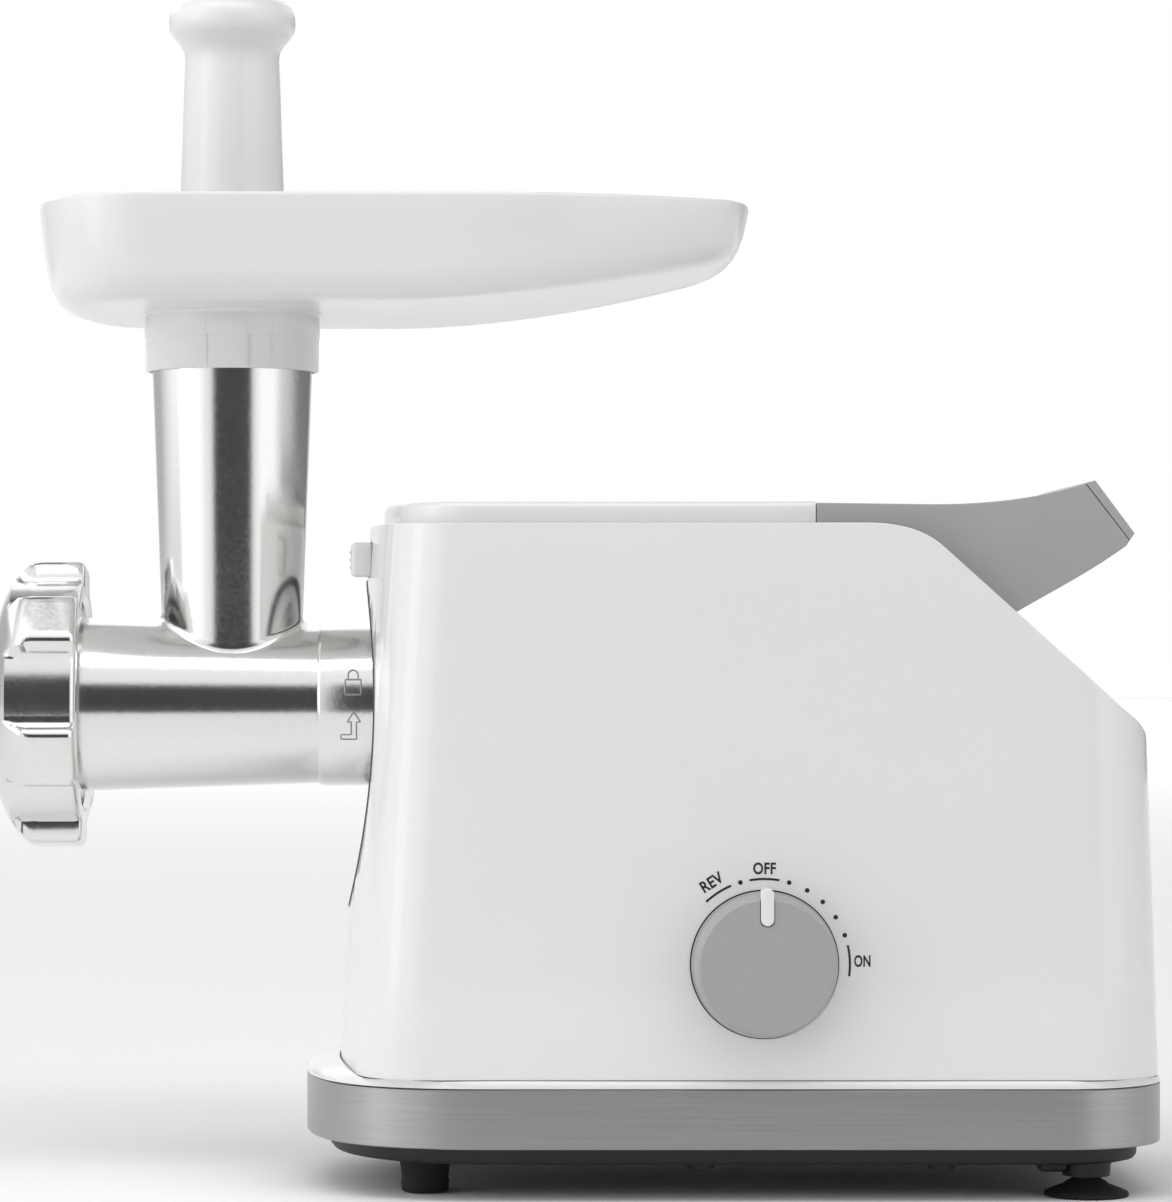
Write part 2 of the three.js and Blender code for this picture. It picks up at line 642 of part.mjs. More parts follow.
function makeKnife() {
  const hub = barX(10, knifeFront, knifeRear, 0, axisZ, 24);
  const half = knifeHalfWidth;
  const across = box(knifeFront, knifeRear, -knifeRadius, knifeRadius, axisZ - half, axisZ + half);
  const upright = box(knifeFront, knifeRear, -half, half, axisZ - knifeRadius, axisZ + knifeRadius);
  const square = 4.5 + gap;
  const hole = box(knifeFront - 1, knifeRear + 1, -square, square, axisZ - square, axisZ + square);
  return cut(join(hub, across, upright), hole);
}

function makePlate() {
  const rings = [[11, 6], [21, 12]];
  const holes = [];
  for (const [radius, count] of rings) {
    for (let i = 0; i < count; i++) {
      const angle = (i / count) * Math.PI * 2;
      holes.push(barX(plateHoleRadius, plateFront - 1, plateRear + 1, radius * Math.cos(angle),
        axisZ + radius * Math.sin(angle), 8));
    }
  }
  const disc = barX(plateRadius, plateFront, plateRear, 0, axisZ, 32);
  return cut(disc, barX(pinRadius + gap, plateFront - 1, plateRear + 1, 0, axisZ, 16), ...holes);
}

// Six lobes round a ring, with a domed front and a plain bore for the mouth of the head.
function makeNut() {
  const outline = new THREE.Shape();
  const half = 12;
  const shoulder = 17;
  for (let i = 0; i < nutLobes; i++) {
    const centre = 90 + nutLobeStart + (i * 360) / nutLobes;
    const corners = [[nutValleyRadius, -shoulder], [nutLobeRadius, -half], [nutLobeRadius, half],
      [nutValleyRadius, shoulder], [nutValleyRadius - 0.6, 30]];
    for (const [radius, turn] of corners) {
      const angle = (centre + turn) * rad;
      const point = [radius * Math.cos(angle), axisZ + radius * Math.sin(angle)];
      if (i === 0 && turn === -shoulder) outline.moveTo(...point);
      else outline.lineTo(...point);
    }
  }
  outline.closePath();
  const star = toSolid(prismX(outline, nutFront, nutFront + nutLength));
  const dome = turnedX([[0, nutFront], [nutLobeRadius - 12, nutFront], [nutLobeRadius - 4, nutFront + 2],
    [nutLobeRadius - 1, nutFront + 5.5], [nutLobeRadius + 0.5, nutFront + 10],
    [nutLobeRadius + 0.5, nutFront + nutLength - 3], [nutLobeRadius - 2, nutFront + nutLength],
    [0, nutFront + nutLength]], 0, axisZ, 36);
  const thread = barX(mouthRadius + 0.4, nutInner, nutFront + nutLength + 1, 0, axisZ, 30);
  const mouth = barX(nutMouthRadius + 4, nutFront - 1, nutInner + 1, 0, axisZ, 30, nutMouthRadius - 1);
  return cut(star.intersect(dome), thread, mouth);
}

piece("auger", makeAuger(), "casting");
piece("cutting_knife", makeKnife(), "steel");
piece("cutting_plate", makePlate(), "steel");
piece("ring_nut", makeNut(), "casting");

// ---------------------------------------------------------------- tray and pusher
// The pan of the tray: drawn in plan, drawn in towards its floor, which climbs at the tail.
function trayBlock(inset, floorLift, top) {
  const x0 = trayFront + inset;
  const x1 = trayRear - inset;
  const side = trayHalfWidth - inset;
  const shoulderFront = trayFront + trayLength * 0.17;
  const shoulderRear = trayFront + trayLength * 0.58;
  const outline = new THREE.Shape();
  outline.moveTo(x0, 0);
  outline.bezierCurveTo(x0, -side * 0.68, x0 + 13, -side, shoulderFront, -side);
  outline.lineTo(shoulderRear, -side);
  outline.bezierCurveTo(shoulderRear + 36, -side, x1 - 33, -side + 13, x1 - 11, -side + 28);
  outline.bezierCurveTo(x1 - 2, -side + 34, x1, -side * 0.35, x1, 0);
  outline.bezierCurveTo(x1, side * 0.35, x1 - 2, side - 34, x1 - 11, side - 28);
  outline.bezierCurveTo(x1 - 33, side - 13, shoulderRear + 36, side, shoulderRear, side);
  outline.lineTo(shoulderFront, side);
  outline.bezierCurveTo(x0 + 13, side, x0, side * 0.68, x0, 0);
  const options = { depth: 1, steps: 4, bevelEnabled: false, curveSegments: 5 };
  const middle = trayFront + trayLength * 0.4;
  const bottom = trayFloor - trayWall + floorLift;
  const block = reshape(new THREE.ExtrudeGeometry(outline, options), (x, y, rise) => {
    const atFloor = rise < 0.2;
    const height = atFloor ? 0 : (rise - 0.25) / 0.75;
    const draw = atFloor ? trayTaper + 7 : trayTaper * (1 - height);
    const lift = atFloor ? 0 : 7 + (top - bottom - 7) * height;
    const reach = x - middle;
    return [x - draw * Math.sign(reach) * Math.min(1, Math.abs(reach) / 60),
      y - (draw * y) / trayHalfWidth, bottom + lift];
  });
  // The underside climbs in a curve from under the middle to the tail.
  const keel = new THREE.Shape();
  keel.moveTo(trayFront - 5, bottom);
  keel.lineTo(shoulderRear - 20, bottom);
  keel.quadraticCurveTo(shoulderRear + 45, bottom, trayRear + 5, bottom + trayTailRise);
  keel.lineTo(trayRear + 5, top + 5);
  keel.lineTo(trayFront - 5, top + 5);
  keel.closePath();
  const kept = toSolid(prismY(keel, -trayHalfWidth - 5, trayHalfWidth + 5, 6));
  return toSolid(block).intersect(kept);
}

function makeTray() {
  const pan = cut(trayBlock(0, 0, trayRim), trayBlock(trayWall, trayWall, trayRim + 1));
  const low = hopperTop - collarHeight;
  const collar = barZ(collarRadius, low, trayFloor, hopperX, 0, 30);
  const socket = barZ(hopperTopRadius + gap, low - 1, hopperTop + gap, hopperX, 0, 30);
  const throat = barZ(hopperTopRadius - hopperWall, low - 1, trayFloor + 5, hopperX, 0, 24);
  return cut(join(pan, collar), socket, throat);
}

function makePusher() {
  const base = trayFloor;
  const profile = [[0, base - pusherBelow], [pusherRadius - 1.5, base - pusherBelow],
    [pusherRadius, base - pusherBelow + 2], [pusherRadius, base + gap],
    [collarRadius - 2, base + gap], [collarRadius - 2, base + 3], [19.5, base + 4],
    [18.4, base + 33], [waistRadius + 1, base + 75],
    [waistRadius - 0.2, base + 90], [gripRadius - 4, base + 93.6], [gripRadius, base + 99],
    [gripRadius - 1.6, base + pusherTop - 3.5], [gripRadius - 7, base + pusherTop - 0.5],
    [0, base + pusherTop]];
  return turnedZ(profile, hopperX, 0, 24);
}

piece("food_tray", makeTray(), "white");
piece("food_pusher", makePusher(), "white");

// ---------------------------------------------------------------- dial, switch and button
function makeDial() {
  const back = -bodyHalfWidth - gap;
  const skirt = barY(dialFaceRadius, dialFaceY, back, dialX, dialHeight, 32, dialRadius);
  const half = pointerWidth / 2 + gap;
  const top = dialHeight + dialFaceRadius + 1;
  const groove = box(dialX - half, dialX + half, dialFaceY - 1, dialFaceY + 2,
    top - pointerLength - 1 - gap, top + 5);
  const shaftHole = barY(dialShaftRadius + gap, dialFaceY + 5, back + 1, dialX, dialHeight, 12);
  return cut(skirt, groove, shaftHole);
}

function makePointer() {
  const half = pointerWidth / 2;
  const top = dialHeight + dialFaceRadius + 0.4;
  return box(dialX - half, dialX + half, dialFaceY - 0.6, dialFaceY + 2 - gap, top - pointerLength, top);
}

const switchFront = -bodyHalfWidth + wall + gap;
const switchDepth = 22;

function makeDialShaft() {
  return barY(dialShaftRadius, dialFaceY + 5 + gap, switchFront + switchDepth - 4, dialX, dialHeight, 12);
}

function makeSwitch() {
  const half = 13;
  const block = box(dialX - half, dialX + half, switchFront, switchFront + switchDepth,
    dialHeight - half, dialHeight + half);
  return cut(block, barY(dialShaftRadius + gap, switchFront - 1, switchFront + switchDepth - 4 + gap,
    dialX, dialHeight, 12));
}

const buttonFront = bodyFront + frontLean - buttonProud - 1;

function makeButton() {
  const half = buttonSize / 2;
  const cap = box(buttonFront, recessFloor - 2 - buttonTravel, buttonSide - half, buttonSide + half,
    buttonZ - half, buttonZ + half);
  const stem = box(buttonFront + 4, latchFront - gap, buttonSide - stemHalf, buttonSide + stemHalf,
    buttonZ - stemHalf, buttonZ + stemHalf);
  return join(cap, stem);
}

// The latch hangs from the button's stem and reaches across to the head with a pin.
function makeLatch() {
  const pinZ = axisZ + latchRadius;
  const bar = box(latchFront, latchBack, buttonSide - stemHalf, buttonSide + stemHalf, pinZ - 4, buttonZ + 4);
  const reach = box(latchFront, latchBack, buttonSide, 4, pinZ - 4, pinZ + 4);
  return join(bar, reach, barX(latchPinRadius, headRear - latchBite, latchFront + 1, 0, pinZ, 12));
}

// Coil of round wire between the latch and the gear case.
function makeLatchSpring() {
  const turns = 2.5;
  const wire = 0.5;
  const coil = 3.2;
  const start = latchBack + gap + wire;
  const length = caseFront - gap - wire - start;
  const points = [];
  for (let i = 0; i <= turns * 12; i++) {
    const turn = (i / 12) * Math.PI * 2;
    points.push(new THREE.Vector3(start + (length * i) / (turns * 12),
      buttonSide + coil * Math.cos(turn), springZ + coil * Math.sin(turn)));
  }
  const section = new THREE.Shape().absarc(0, 0, wire, 0, Math.PI * 2, false);
  const path = new THREE.CatmullRomCurve3(points);
  const options = { steps: turns * 12, bevelEnabled: false, extrudePath: path, curveSegments: 3 };
  return toSolid(new THREE.ExtrudeGeometry(section, options));
}

piece("dial", makeDial(), "grey");
piece("dial_pointer", makePointer(), "white");
piece("dial_shaft", makeDialShaft(), "steel");
piece("speed_switch", makeSwitch(), "black");
piece("release_button", makeButton(), "white");
piece("latch", makeLatch(), "steel");
piece("latch_spring", makeLatchSpring(), "steel");

// ---------------------------------------------------------------- gear train
// Involute-shaped teeth drawn with straight flanks; phase points at the middle of a tooth.
function gearOutline(moduleSize, teeth, phase, z) {
  const pitch = (moduleSize * teeth) / 2;
  const pressure = 20 * rad;
  const base = pitch * Math.cos(pressure);
  const involute = (a) => Math.tan(a) - a;
  const halfAtPitch = Math.PI / (2 * teeth) - (0.09 * moduleSize) / pitch;
  const halfAt = (radius) => {
    const angle = Math.acos(Math.min(1, base / radius));
    return halfAtPitch + involute(pressure) - involute(angle);
  };
  const root = pitch - 1.15 * moduleSize;
  const tip = pitch + 0.8 * moduleSize;
  const low = Math.max(base, pitch - 0.6 * moduleSize);
  const rootHalf = teeth > 20 ? halfAt(low) * 1.12 : halfAt(low) * 0.92;
  const flank = teeth > 20 ? [] : [[low, halfAt(low)]];
  const half = [[tip, halfAt(tip)], ...flank, [root, rootHalf]];
  const mirrored = half.map(([radius, turn]) => [radius, -turn]).reverse();
  const corners = [...mirrored, ...half];
  const outline = new THREE.Shape();
  for (let i = 0; i < teeth; i++) {
    corners.forEach(([radius, turn], corner) => {
      const angle = phase * rad + (i * Math.PI * 2) / teeth + turn;
      const point = [radius * Math.cos(angle), z + radius * Math.sin(angle)];
      if (i === 0 && corner === 0) outline.moveTo(...point);
      else outline.lineTo(...point);
    });
  }
  outline.closePath();
  return outline;
}

const down = -90;
const up = 90;

function makeOutputGear() {
  const teeth = gearOutline(outputModule, outputTeeth, down, axisZ);
  const rim = toSolid(prismX(teeth, outputGearFront, outputGearRear));
  const dish = cut(barX(outputRadius - 7, outputGearFront - 1, outputGearFront + 4, 0, axisZ, 32),
    barX(outputShaftRadius + 6, outputGearFront - 2, outputGearFront + 5, 0, axisZ, 20));
  return cut(rim, dish, barX(outputShaftRadius + gap, outputGearFront - 1, outputGearRear + 1, 0, axisZ, 20));
}

function makeOutputShaft() {
  return barX(outputShaftRadius, socketBack - 5, coverPlateRear - 0.5, 0, axisZ, 20);
}

function makeCoupling() {
  const front = rearRingFront + 16.5;
  const rear = socketBack - 1;
  const half = driveSquare / 2 + gap;
  const cup = barX(couplingRadius, front, rear, 0, axisZ, 24);
  return cut(cup, box(front - 1, recessFloor + 2 + gap, -half, half, axisZ - half, axisZ + half),
    barX(outputShaftRadius + gap, socketBack - 5 - gap, rear + 1, 0, axisZ, 20));
}

function makeLayGear() {
  const rim = toSolid(prismX(gearOutline(motorModule, layTeeth, down, layZ), layGearFront, layGearRear));
  return cut(rim, barX(5.2 + gap, layGearFront - 1, layGearRear + 1, 0, layZ, 16));
}

function makeLayShaft() {
  const gapTurn = 180 / layPinionTeeth;
  const teeth = gearOutline(outputModule, layPinionTeeth, up + gapTurn, layZ);
  return join(
    toSolid(prismX(teeth, outputGearFront - 0.5, outputGearRear + 0.5)),
    barX(5.2, outputGearRear, layGearRear + 1, 0, layZ, 16),
    barX(pinRadius, caseFront + 0.5, coverPlateRear - 0.5, 0, layZ, 16),
  );
}

function caseOutline(grow, x0, x1) {
  return join(
    barX(outputRadius + 2.5 + grow, x0, x1, 0, axisZ, 28),
    barX(layRadius + 2.5 + grow, x0, x1, 0, layZ, 24),
    barX(10 + grow, x0, x1, 0, motorZ, 20),
    box(x0, x1, -layRadius - grow, layRadius + grow, layZ, axisZ - 15),
    box(x0, x1, -10 - grow, 10 + grow, motorZ, layZ),
  );
}

function makeGearCase() {
  const outer = caseOutline(caseWall, caseFront, caseRear);
  const inner = caseOutline(0, caseInner, caseRear + 5);
  const layBoss = barX(pinRadius + bushWall + 3, caseFront, caseInner + 2, 0, layZ, 16);
  const pads = [-1, 1].map((side) =>
    barX(5, socketBack + gap, caseInner, side * 32, axisZ - 8, 16));
  return cut(
    join(cut(outer, inner), layBoss, ...pads),
    barX(outputShaftRadius + bushWall + gap, caseFront - 1, caseInner + 1, 0, axisZ, 20),
    barX(pinRadius + bushWall + gap, caseFront - 1, caseInner + 3, 0, layZ, 16),
  );
}

function makeCaseCover() {
  return cut(
    caseOutline(caseWall, coverPlateFront, coverPlateRear),
    barX(outputShaftRadius + bushWall + gap, coverPlateFront - 1, coverPlateRear + 1, 0, axisZ, 20),
    barX(pinRadius + bushWall + gap, coverPlateFront - 1, coverPlateRear + 1, 0, layZ, 16),
    barX(7, coverPlateFront - 1, coverPlateRear + 1, 0, motorZ, 16),
  );
}

function bush(radius, x0, x1, z) {
  return cut(barX(radius + bushWall, x0, x1, 0, z, 16), barX(radius + gap, x0 - 1, x1 + 1, 0, z, 16));
}

piece("output_gear", makeOutputGear(), "steel");
piece("output_shaft", makeOutputShaft(), "steel");
piece("drive_coupling", makeCoupling(), "nylon");
piece("lay_gear", makeLayGear(), "nylon");
piece("lay_shaft", makeLayShaft(), "steel");
piece("gear_case", makeGearCase(), "nylon");
piece("gear_case_cover", makeCaseCover(), "nylon");
piece("output_bush_front", bush(outputShaftRadius, caseFront + gap, caseInner, axisZ), "bronze");
piece("output_bush_rear", bush(outputShaftRadius, coverPlateFront, coverPlateRear, axisZ), "bronze");
piece("lay_bush_front", bush(pinRadius, caseFront + gap, caseInner + 2, layZ), "bronze");
piece("lay_bush_rear", bush(pinRadius, coverPlateFront, coverPlateRear, layZ), "bronze");

// ---------------------------------------------------------------- motor
function motorBracket(x0, x1, armStart, armEnd) {
  const half = statorRadius - 4;
  const plate = barX(statorRadius, x0, x1, 0, motorZ, 24);
  const arms = [-1, 1].map((side) => {
    const y = side * (half - 3);
    return box(armStart, armEnd, y - 3, y + 3, motorZ - 9, motorZ + 9);
  });
  const hole = barX(pinRadius + bushWall + gap, x0 - 1, x1 + 1, 0, motorZ, 16);
  const vents = [90, 270].map((a) => barX(6, x0 - 1, x1 + 1, 20 * Math.cos(a * rad),
    motorZ + 20 * Math.sin(a * rad), 12));
  return cut(join(plate, ...arms), hole, ...vents);
}

function makeRotor() {
  const gapTurn = 180 / motorPinionTeeth;
  const teeth = gearOutline(motorModule, motorPinionTeeth, up + gapTurn, motorZ);
  return join(
    toSolid(prismX(teeth, layGearFront - 0.5, layGearRear + 0.5)),
    barX(3.4, layGearRear, motorBracketFront - 1, 0, motorZ, 12),
    barX(pinRadius, motorBracketFront - 1.5, fanRear + 2, 0, motorZ, 16),
    barX(rotorRadius, statorFront + 1, statorRear - 1, 0, motorZ, 24),
  );
}

function makeStator() {
  const stack = barX(statorRadius, statorFront, statorRear, 0, motorZ, 24);
  const flats = statorRadius - 3;
  const square = box(statorFront - 1, statorRear + 1, -flats, flats, motorZ - flats, motorZ + flats);
  const tunnel = barX(rotorRadius + 0.6, statorFront - 1, statorRear + 1, 0, motorZ, 24);
  return cut(stack.intersect(square), tunnel);
}

function makeFan() {
  const hub = barX(9, fanFront, fanRear, 0, motorZ, 20);
  const disc = barX(fanRadius, fanFront, fanFront + 1.6, 0, motorZ, 24);
  const blades = [];
  for (let i = 0; i < 7; i++) {
    const turn = (i / 7) * Math.PI * 2;
    const blade = new THREE.BoxGeometry(fanRear - fanFront, fanRadius - 9, 1.6);
    blade.translate((fanFront + fanRear) / 2, 8 + (fanRadius - 9) / 2, 0);
    blades.push(toSolid(blade.rotateX(turn).translate(0, 0, motorZ)));
  }
  const bore = barX(pinRadius + gap, fanFront - 1, fanRear + 1, 0, motorZ, 16);
  return cut(join(hub, disc, ...blades), bore);
}

function makeCommutator() {
  const x0 = statorRear + 4;
  return cut(barX(commutatorRadius, x0, x0 + 11, 0, motorZ, 24),
    barX(pinRadius + gap, x0 - 1, x0 + 12, 0, motorZ, 16));
}

function makeBrush(side) {
  const inner = commutatorRadius + gap;
  const outer = 24;
  const y0 = side > 0 ? inner : -outer;
  const y1 = side > 0 ? outer : -inner;
  return box(statorRear + 7, rearBracketFront - gap, y0, y1, motorZ - 4, motorZ + 4);
}

function makeBoard() {
  const z = bandTop - 6 + gap;
  const plate = box(112, 176, -30, 30, z, z + 1.6);
  const parts = [[116, 130, -24, -8, 20], [138, 158, -22, -2, 16], [120, 128, 8, 16, 12],
    [146, 166, 6, 24, 24]];
  const blocks = parts.map(([x0, x1, y0, y1, height]) => box(x0, x1, y0, y1, z + 1, z + 1.6 + height));
  return join(plate, ...blocks);
}

piece("motor_rotor", makeRotor(), "steel");
piece("motor_stator", makeStator(), "steel");
piece("commutator", makeCommutator(), "copper");
piece("cooling_fan", makeFan(), "nylon");
piece("motor_front_bracket", motorBracket(motorBracketFront, motorBracketFront + motorBracketThickness,
  motorBracketFront, statorFront - gap), "casting");
piece("motor_rear_bracket", motorBracket(rearBracketFront, rearBracketRear,
  statorRear + gap, rearBracketRear), "casting");
piece("motor_bush_front", bush(pinRadius, motorBracketFront, motorBracketFront + motorBracketThickness,
  motorZ), "bronze");
piece("motor_bush_rear", bush(pinRadius, rearBracketFront, rearBracketRear, motorZ), "bronze");
piece("brush_dial_side", makeBrush(-1), "carbon");
piece("brush_plain_side", makeBrush(1), "carbon");
piece("control_board", makeBoard(), "board");

// ---------------------------------------------------------------- the model's origin
const reachX = (nutFront + plinthRear) / 2;
const reachY = (dialFaceY - 0.6 + trayHalfWidth) / 2;
model.position.set(-reachX, -reachY, 0);

export default model;
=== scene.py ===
import json
import math

import bpy
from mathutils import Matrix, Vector


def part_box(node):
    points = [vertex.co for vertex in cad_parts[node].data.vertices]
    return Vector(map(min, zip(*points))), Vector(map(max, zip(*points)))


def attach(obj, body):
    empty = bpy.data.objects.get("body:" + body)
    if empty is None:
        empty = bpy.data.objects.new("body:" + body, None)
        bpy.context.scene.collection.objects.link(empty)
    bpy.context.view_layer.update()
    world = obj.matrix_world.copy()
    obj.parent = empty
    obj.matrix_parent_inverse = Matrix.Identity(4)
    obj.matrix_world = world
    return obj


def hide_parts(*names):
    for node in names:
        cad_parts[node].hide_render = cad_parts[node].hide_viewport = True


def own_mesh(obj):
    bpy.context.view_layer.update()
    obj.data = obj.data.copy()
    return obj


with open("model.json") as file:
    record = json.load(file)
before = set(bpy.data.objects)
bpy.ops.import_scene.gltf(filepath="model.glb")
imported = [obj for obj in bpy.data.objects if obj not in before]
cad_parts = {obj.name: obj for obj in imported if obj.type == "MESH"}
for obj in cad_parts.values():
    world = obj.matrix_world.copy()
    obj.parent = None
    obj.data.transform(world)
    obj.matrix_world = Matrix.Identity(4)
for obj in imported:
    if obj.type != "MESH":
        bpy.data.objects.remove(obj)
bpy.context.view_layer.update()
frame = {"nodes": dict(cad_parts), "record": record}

# Electric meat grinder: glossy white housing on a brushed band, polished head, white tray and pusher.
# Lengths below are millimetres; loft() and the primitives turn them into metres.
mm = 0.001
gap = 0.3


def reach(node):
    """Lowest and highest corner of a CAD node, in millimetres."""
    low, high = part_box(node)
    return [value / mm for value in low], [value / mm for value in high]


def middle(node):
    low, high = reach(node)
    return [(a + b) / 2 for a, b in zip(low, high)]


# ------------------------------------------------------------------ places, from the frame
housing_low, housing_high = reach("main_housing")
cover_low, cover_high = reach("top_cover")
handle_low, handle_high = reach("carry_handle")
ledge_low, ledge_high = reach("base_ledge")
band_low, band_high = reach("base_band")
tray_low, tray_high = reach("food_tray")
pusher_low, pusher_high = reach("food_pusher")
head_low, head_high = reach("grinder_head")
nut_low, nut_high = reach("ring_nut")
plate_low, plate_high = reach("cutting_plate")
dial_low, dial_high = reach("dial")
button_low, button_high = reach("release_button")
gasket_low, gasket_high = reach("recess_gasket")

mid_y = (housing_low[1] + housing_high[1]) / 2
half_width = (housing_high[1] - housing_low[1]) / 2
axis_z = middle("cutting_plate")[2]
hopper_x = middle("food_pusher")[0]
recess_z = middle("recess_gasket")[2]
recess_floor = gasket_high[0] + gap
wall = 2.6
front_lean = 10.4
rear_lean = 6.2


# ------------------------------------------------------------------ modelling
def deselect():
    if bpy.context.mode != "OBJECT":
        bpy.ops.object.mode_set(mode="OBJECT")
    bpy.ops.object.select_all(action="DESELECT")


def take(piece):
    """Makes a piece the only selected one, and the active one."""
    deselect()
    piece.select_set(True)
    bpy.context.view_layer.objects.active = piece
    return piece


def settle(piece):
    """Leaves a piece's place in its mesh, with its object at the origin."""
    take(piece)
    bpy.ops.object.transform_apply(location=True, rotation=True, scale=True)
    return piece


def outward(piece):
    take(piece)
    bpy.ops.object.mode_set(mode="EDIT")
    bpy.ops.mesh.select_all(action="SELECT")
    bpy.ops.mesh.normals_make_consistent(inside=False)
    bpy.ops.object.mode_set(mode="OBJECT")
    return piece


def loft(name, rings, closed=False):
    """Extrudes a round blank ring by ring and draws each ring out to its outline.

    It makes the bowed and lobed forms that no operator gives; closed joins the last ring to the first.
    """
    count = len(rings[0])
    deselect()
    fill = "NOTHING" if closed else "NGON"
    bpy.ops.mesh.primitive_circle_add(vertices=count, radius=1, fill_type=fill)
    piece = bpy.context.object
    piece.name = name
    bpy.ops.object.mode_set(mode="EDIT")
    bpy.ops.mesh.select_all(action="SELECT")
    for _ in rings[1:]:
        bpy.ops.mesh.extrude_region_move(TRANSFORM_OT_translate={"value": (0, 0, 1)})
    bpy.ops.object.mode_set(mode="OBJECT")
    layers = [[] for _ in rings]
    for vertex in piece.data.vertices:
        layers[round(vertex.co.z)].append(vertex)
    for ring, layer in zip(rings, layers):
        layer.sort(key=lambda vertex: math.atan2(vertex.co.y, vertex.co.x) % (2 * math.pi - 1e-4))
        for vertex, point in zip(layer, ring):
            vertex.co = Vector(point) * mm
    if closed:
        bpy.ops.object.mode_set(mode="EDIT")
        join_ends()
    return outward(piece)


def join_ends():
    """Bridges the two open ends of the piece being edited."""
    bpy.ops.mesh.select_mode(type="EDGE")
    bpy.ops.mesh.select_all(action="DESELECT")
    bpy.ops.mesh.select_non_manifold()
    bpy.ops.mesh.bridge_edge_loops()


def circle(radius, z, centre, count):
    """Points of a level circle about a centre in plan."""
    turns = [2 * math.pi * i / count for i in range(count)]
    return [(centre[0] + radius * math.cos(turn), centre[1] + radius * math.sin(turn), z) for turn in turns]


def turned(name, profile, axis, centre, count=72, closed=False):
    """A turned piece, drawn up from a circle; profile points are (radius, place along the axis).

    centre holds the two other coordinates of the axis; closed joins the last ring to the first.
    """
    profile = [(max(radius, 0.01), along) for radius, along in profile]
    deselect()
    bpy.ops.mesh.primitive_circle_add(vertices=count, radius=profile[0][0] * mm,
                                      fill_type="NOTHING" if closed else "NGON")
    piece = bpy.context.object
    piece.name = name
    bpy.ops.object.mode_set(mode="EDIT")
    bpy.ops.mesh.select_all(action="SELECT")
    for (radius, along), (next_radius, next_along) in zip(profile, profile[1:]):
        bpy.ops.mesh.extrude_region_move(TRANSFORM_OT_translate={"value": (0, 0, (next_along - along) * mm)})
        growth = next_radius / radius
        bpy.ops.transform.resize(value=(growth, growth, 1), center_override=(0, 0, 0))
    if closed:
        join_ends()
    bpy.ops.object.mode_set(mode="OBJECT")
    (first, second), start, quarter = centre, profile[0][1], math.radians(90)
    place, piece.rotation_euler = {
        "X": ((start, first, second), (quarter, 0, quarter)),
        "Y": ((first, start, second), (-quarter, 0, 0)),
        "Z": ((first, second, start), (0, 0, 0)),
    }[axis]
    piece.location = Vector(place) * mm
    return outward(sealed(settle(piece)))


def sealed(piece, apart=0.03):
    """Merges points that lie together, as where a piece closes on its axis."""
    take(piece)
    bpy.ops.object.mode_set(mode="EDIT")
    bpy.ops.mesh.select_all(action="SELECT")
    bpy.ops.mesh.remove_doubles(threshold=apart * mm)
    bpy.ops.object.mode_set(mode="OBJECT")
    return piece


def block(x0, x1, y0, y1, z0, z1):
    spans = ((x0, x1), (y0, y1), (z0, z1))
    deselect()
    bpy.ops.mesh.primitive_cube_add(size=1, location=[(low + high) / 2 * mm for low, high in spans])
    piece = bpy.context.object
    piece.scale = [(high - low) * mm for low, high in spans]
    return settle(piece)


def rounded_block(x0, x1, y0, y1, z0, z1, radius, segments=4):
    return finish_edges(block(x0, x1, y0, y1, z0, z1), radius, segments)


def bar(radius, along0, along1, axis, centre, count=48):
    return turned("bar", [(radius, along0), (radius, along1)], axis, centre, count)


def use(piece, kind, **settings):
    """Adds a modifier, sets it and applies it."""
    take(piece)
    modifier = piece.modifiers.new(kind.title(), kind)
    for key, value in settings.items():
        setattr(modifier, key, value)
    bpy.ops.object.modifier_apply(modifier=modifier.name)
    return piece


def finish_edges(piece, width, segments=3, angle=35):
    return use(piece, "BEVEL", width=width * mm, segments=segments, limit_method="ANGLE",
               angle_limit=math.radians(angle), use_clamp_overlap=True, miter_outer="MITER_ARC")


def combine(piece, operation, *others):
    for other in others:
        use(piece, "BOOLEAN", operation=operation, object=other, solver="EXACT")
        bpy.data.objects.remove(other)
    return piece


def carve(piece, *cutters):
    return combine(piece, "DIFFERENCE", *cutters)


def merge(name, *parts):
    """Joins separate bodies into one piece, as moulded or stacked together."""
    deselect()
    for part in parts:
        part.select_set(True)
    bpy.context.view_layer.objects.active = parts[0]
    bpy.ops.object.join()
    parts[0].name = name
    return parts[0]


def smooth(piece, angle=32):
    take(piece)
    bpy.ops.object.shade_smooth_by_angle(angle=math.radians(angle))
    return piece


# ------------------------------------------------------------------ outlines
def bezier(a, b, c, d, steps):
    """Points of a cubic curve, without its last one."""
    points = []
    for i in range(steps):
        t = i / steps
        weights = ((1 - t) ** 3, 3 * t * (1 - t) ** 2, 3 * t * t * (1 - t), t ** 3)
        points.append(tuple(sum(w * p[k] for w, p in zip(weights, (a, b, c, d))) for k in range(2)))
    return points


def line(a, b, steps):
    return [tuple(p + (q - p) * i / steps for p, q in zip(a, b)) for i in range(steps)]


def arc(cx, cy, radius, start, end, steps):
    turns = [math.radians(start + (end - start) * i / steps) for i in range(steps)]
    return [(cx + radius * math.cos(t), cy + radius * math.sin(t)) for t in turns]


def mirrored(half):
    """Closes half an outline, drawn from the rear round to the front on the +Y side, with its mirror."""
    other = [(x, -y) for x, y in reversed(half[1:-1])]
    return half + other


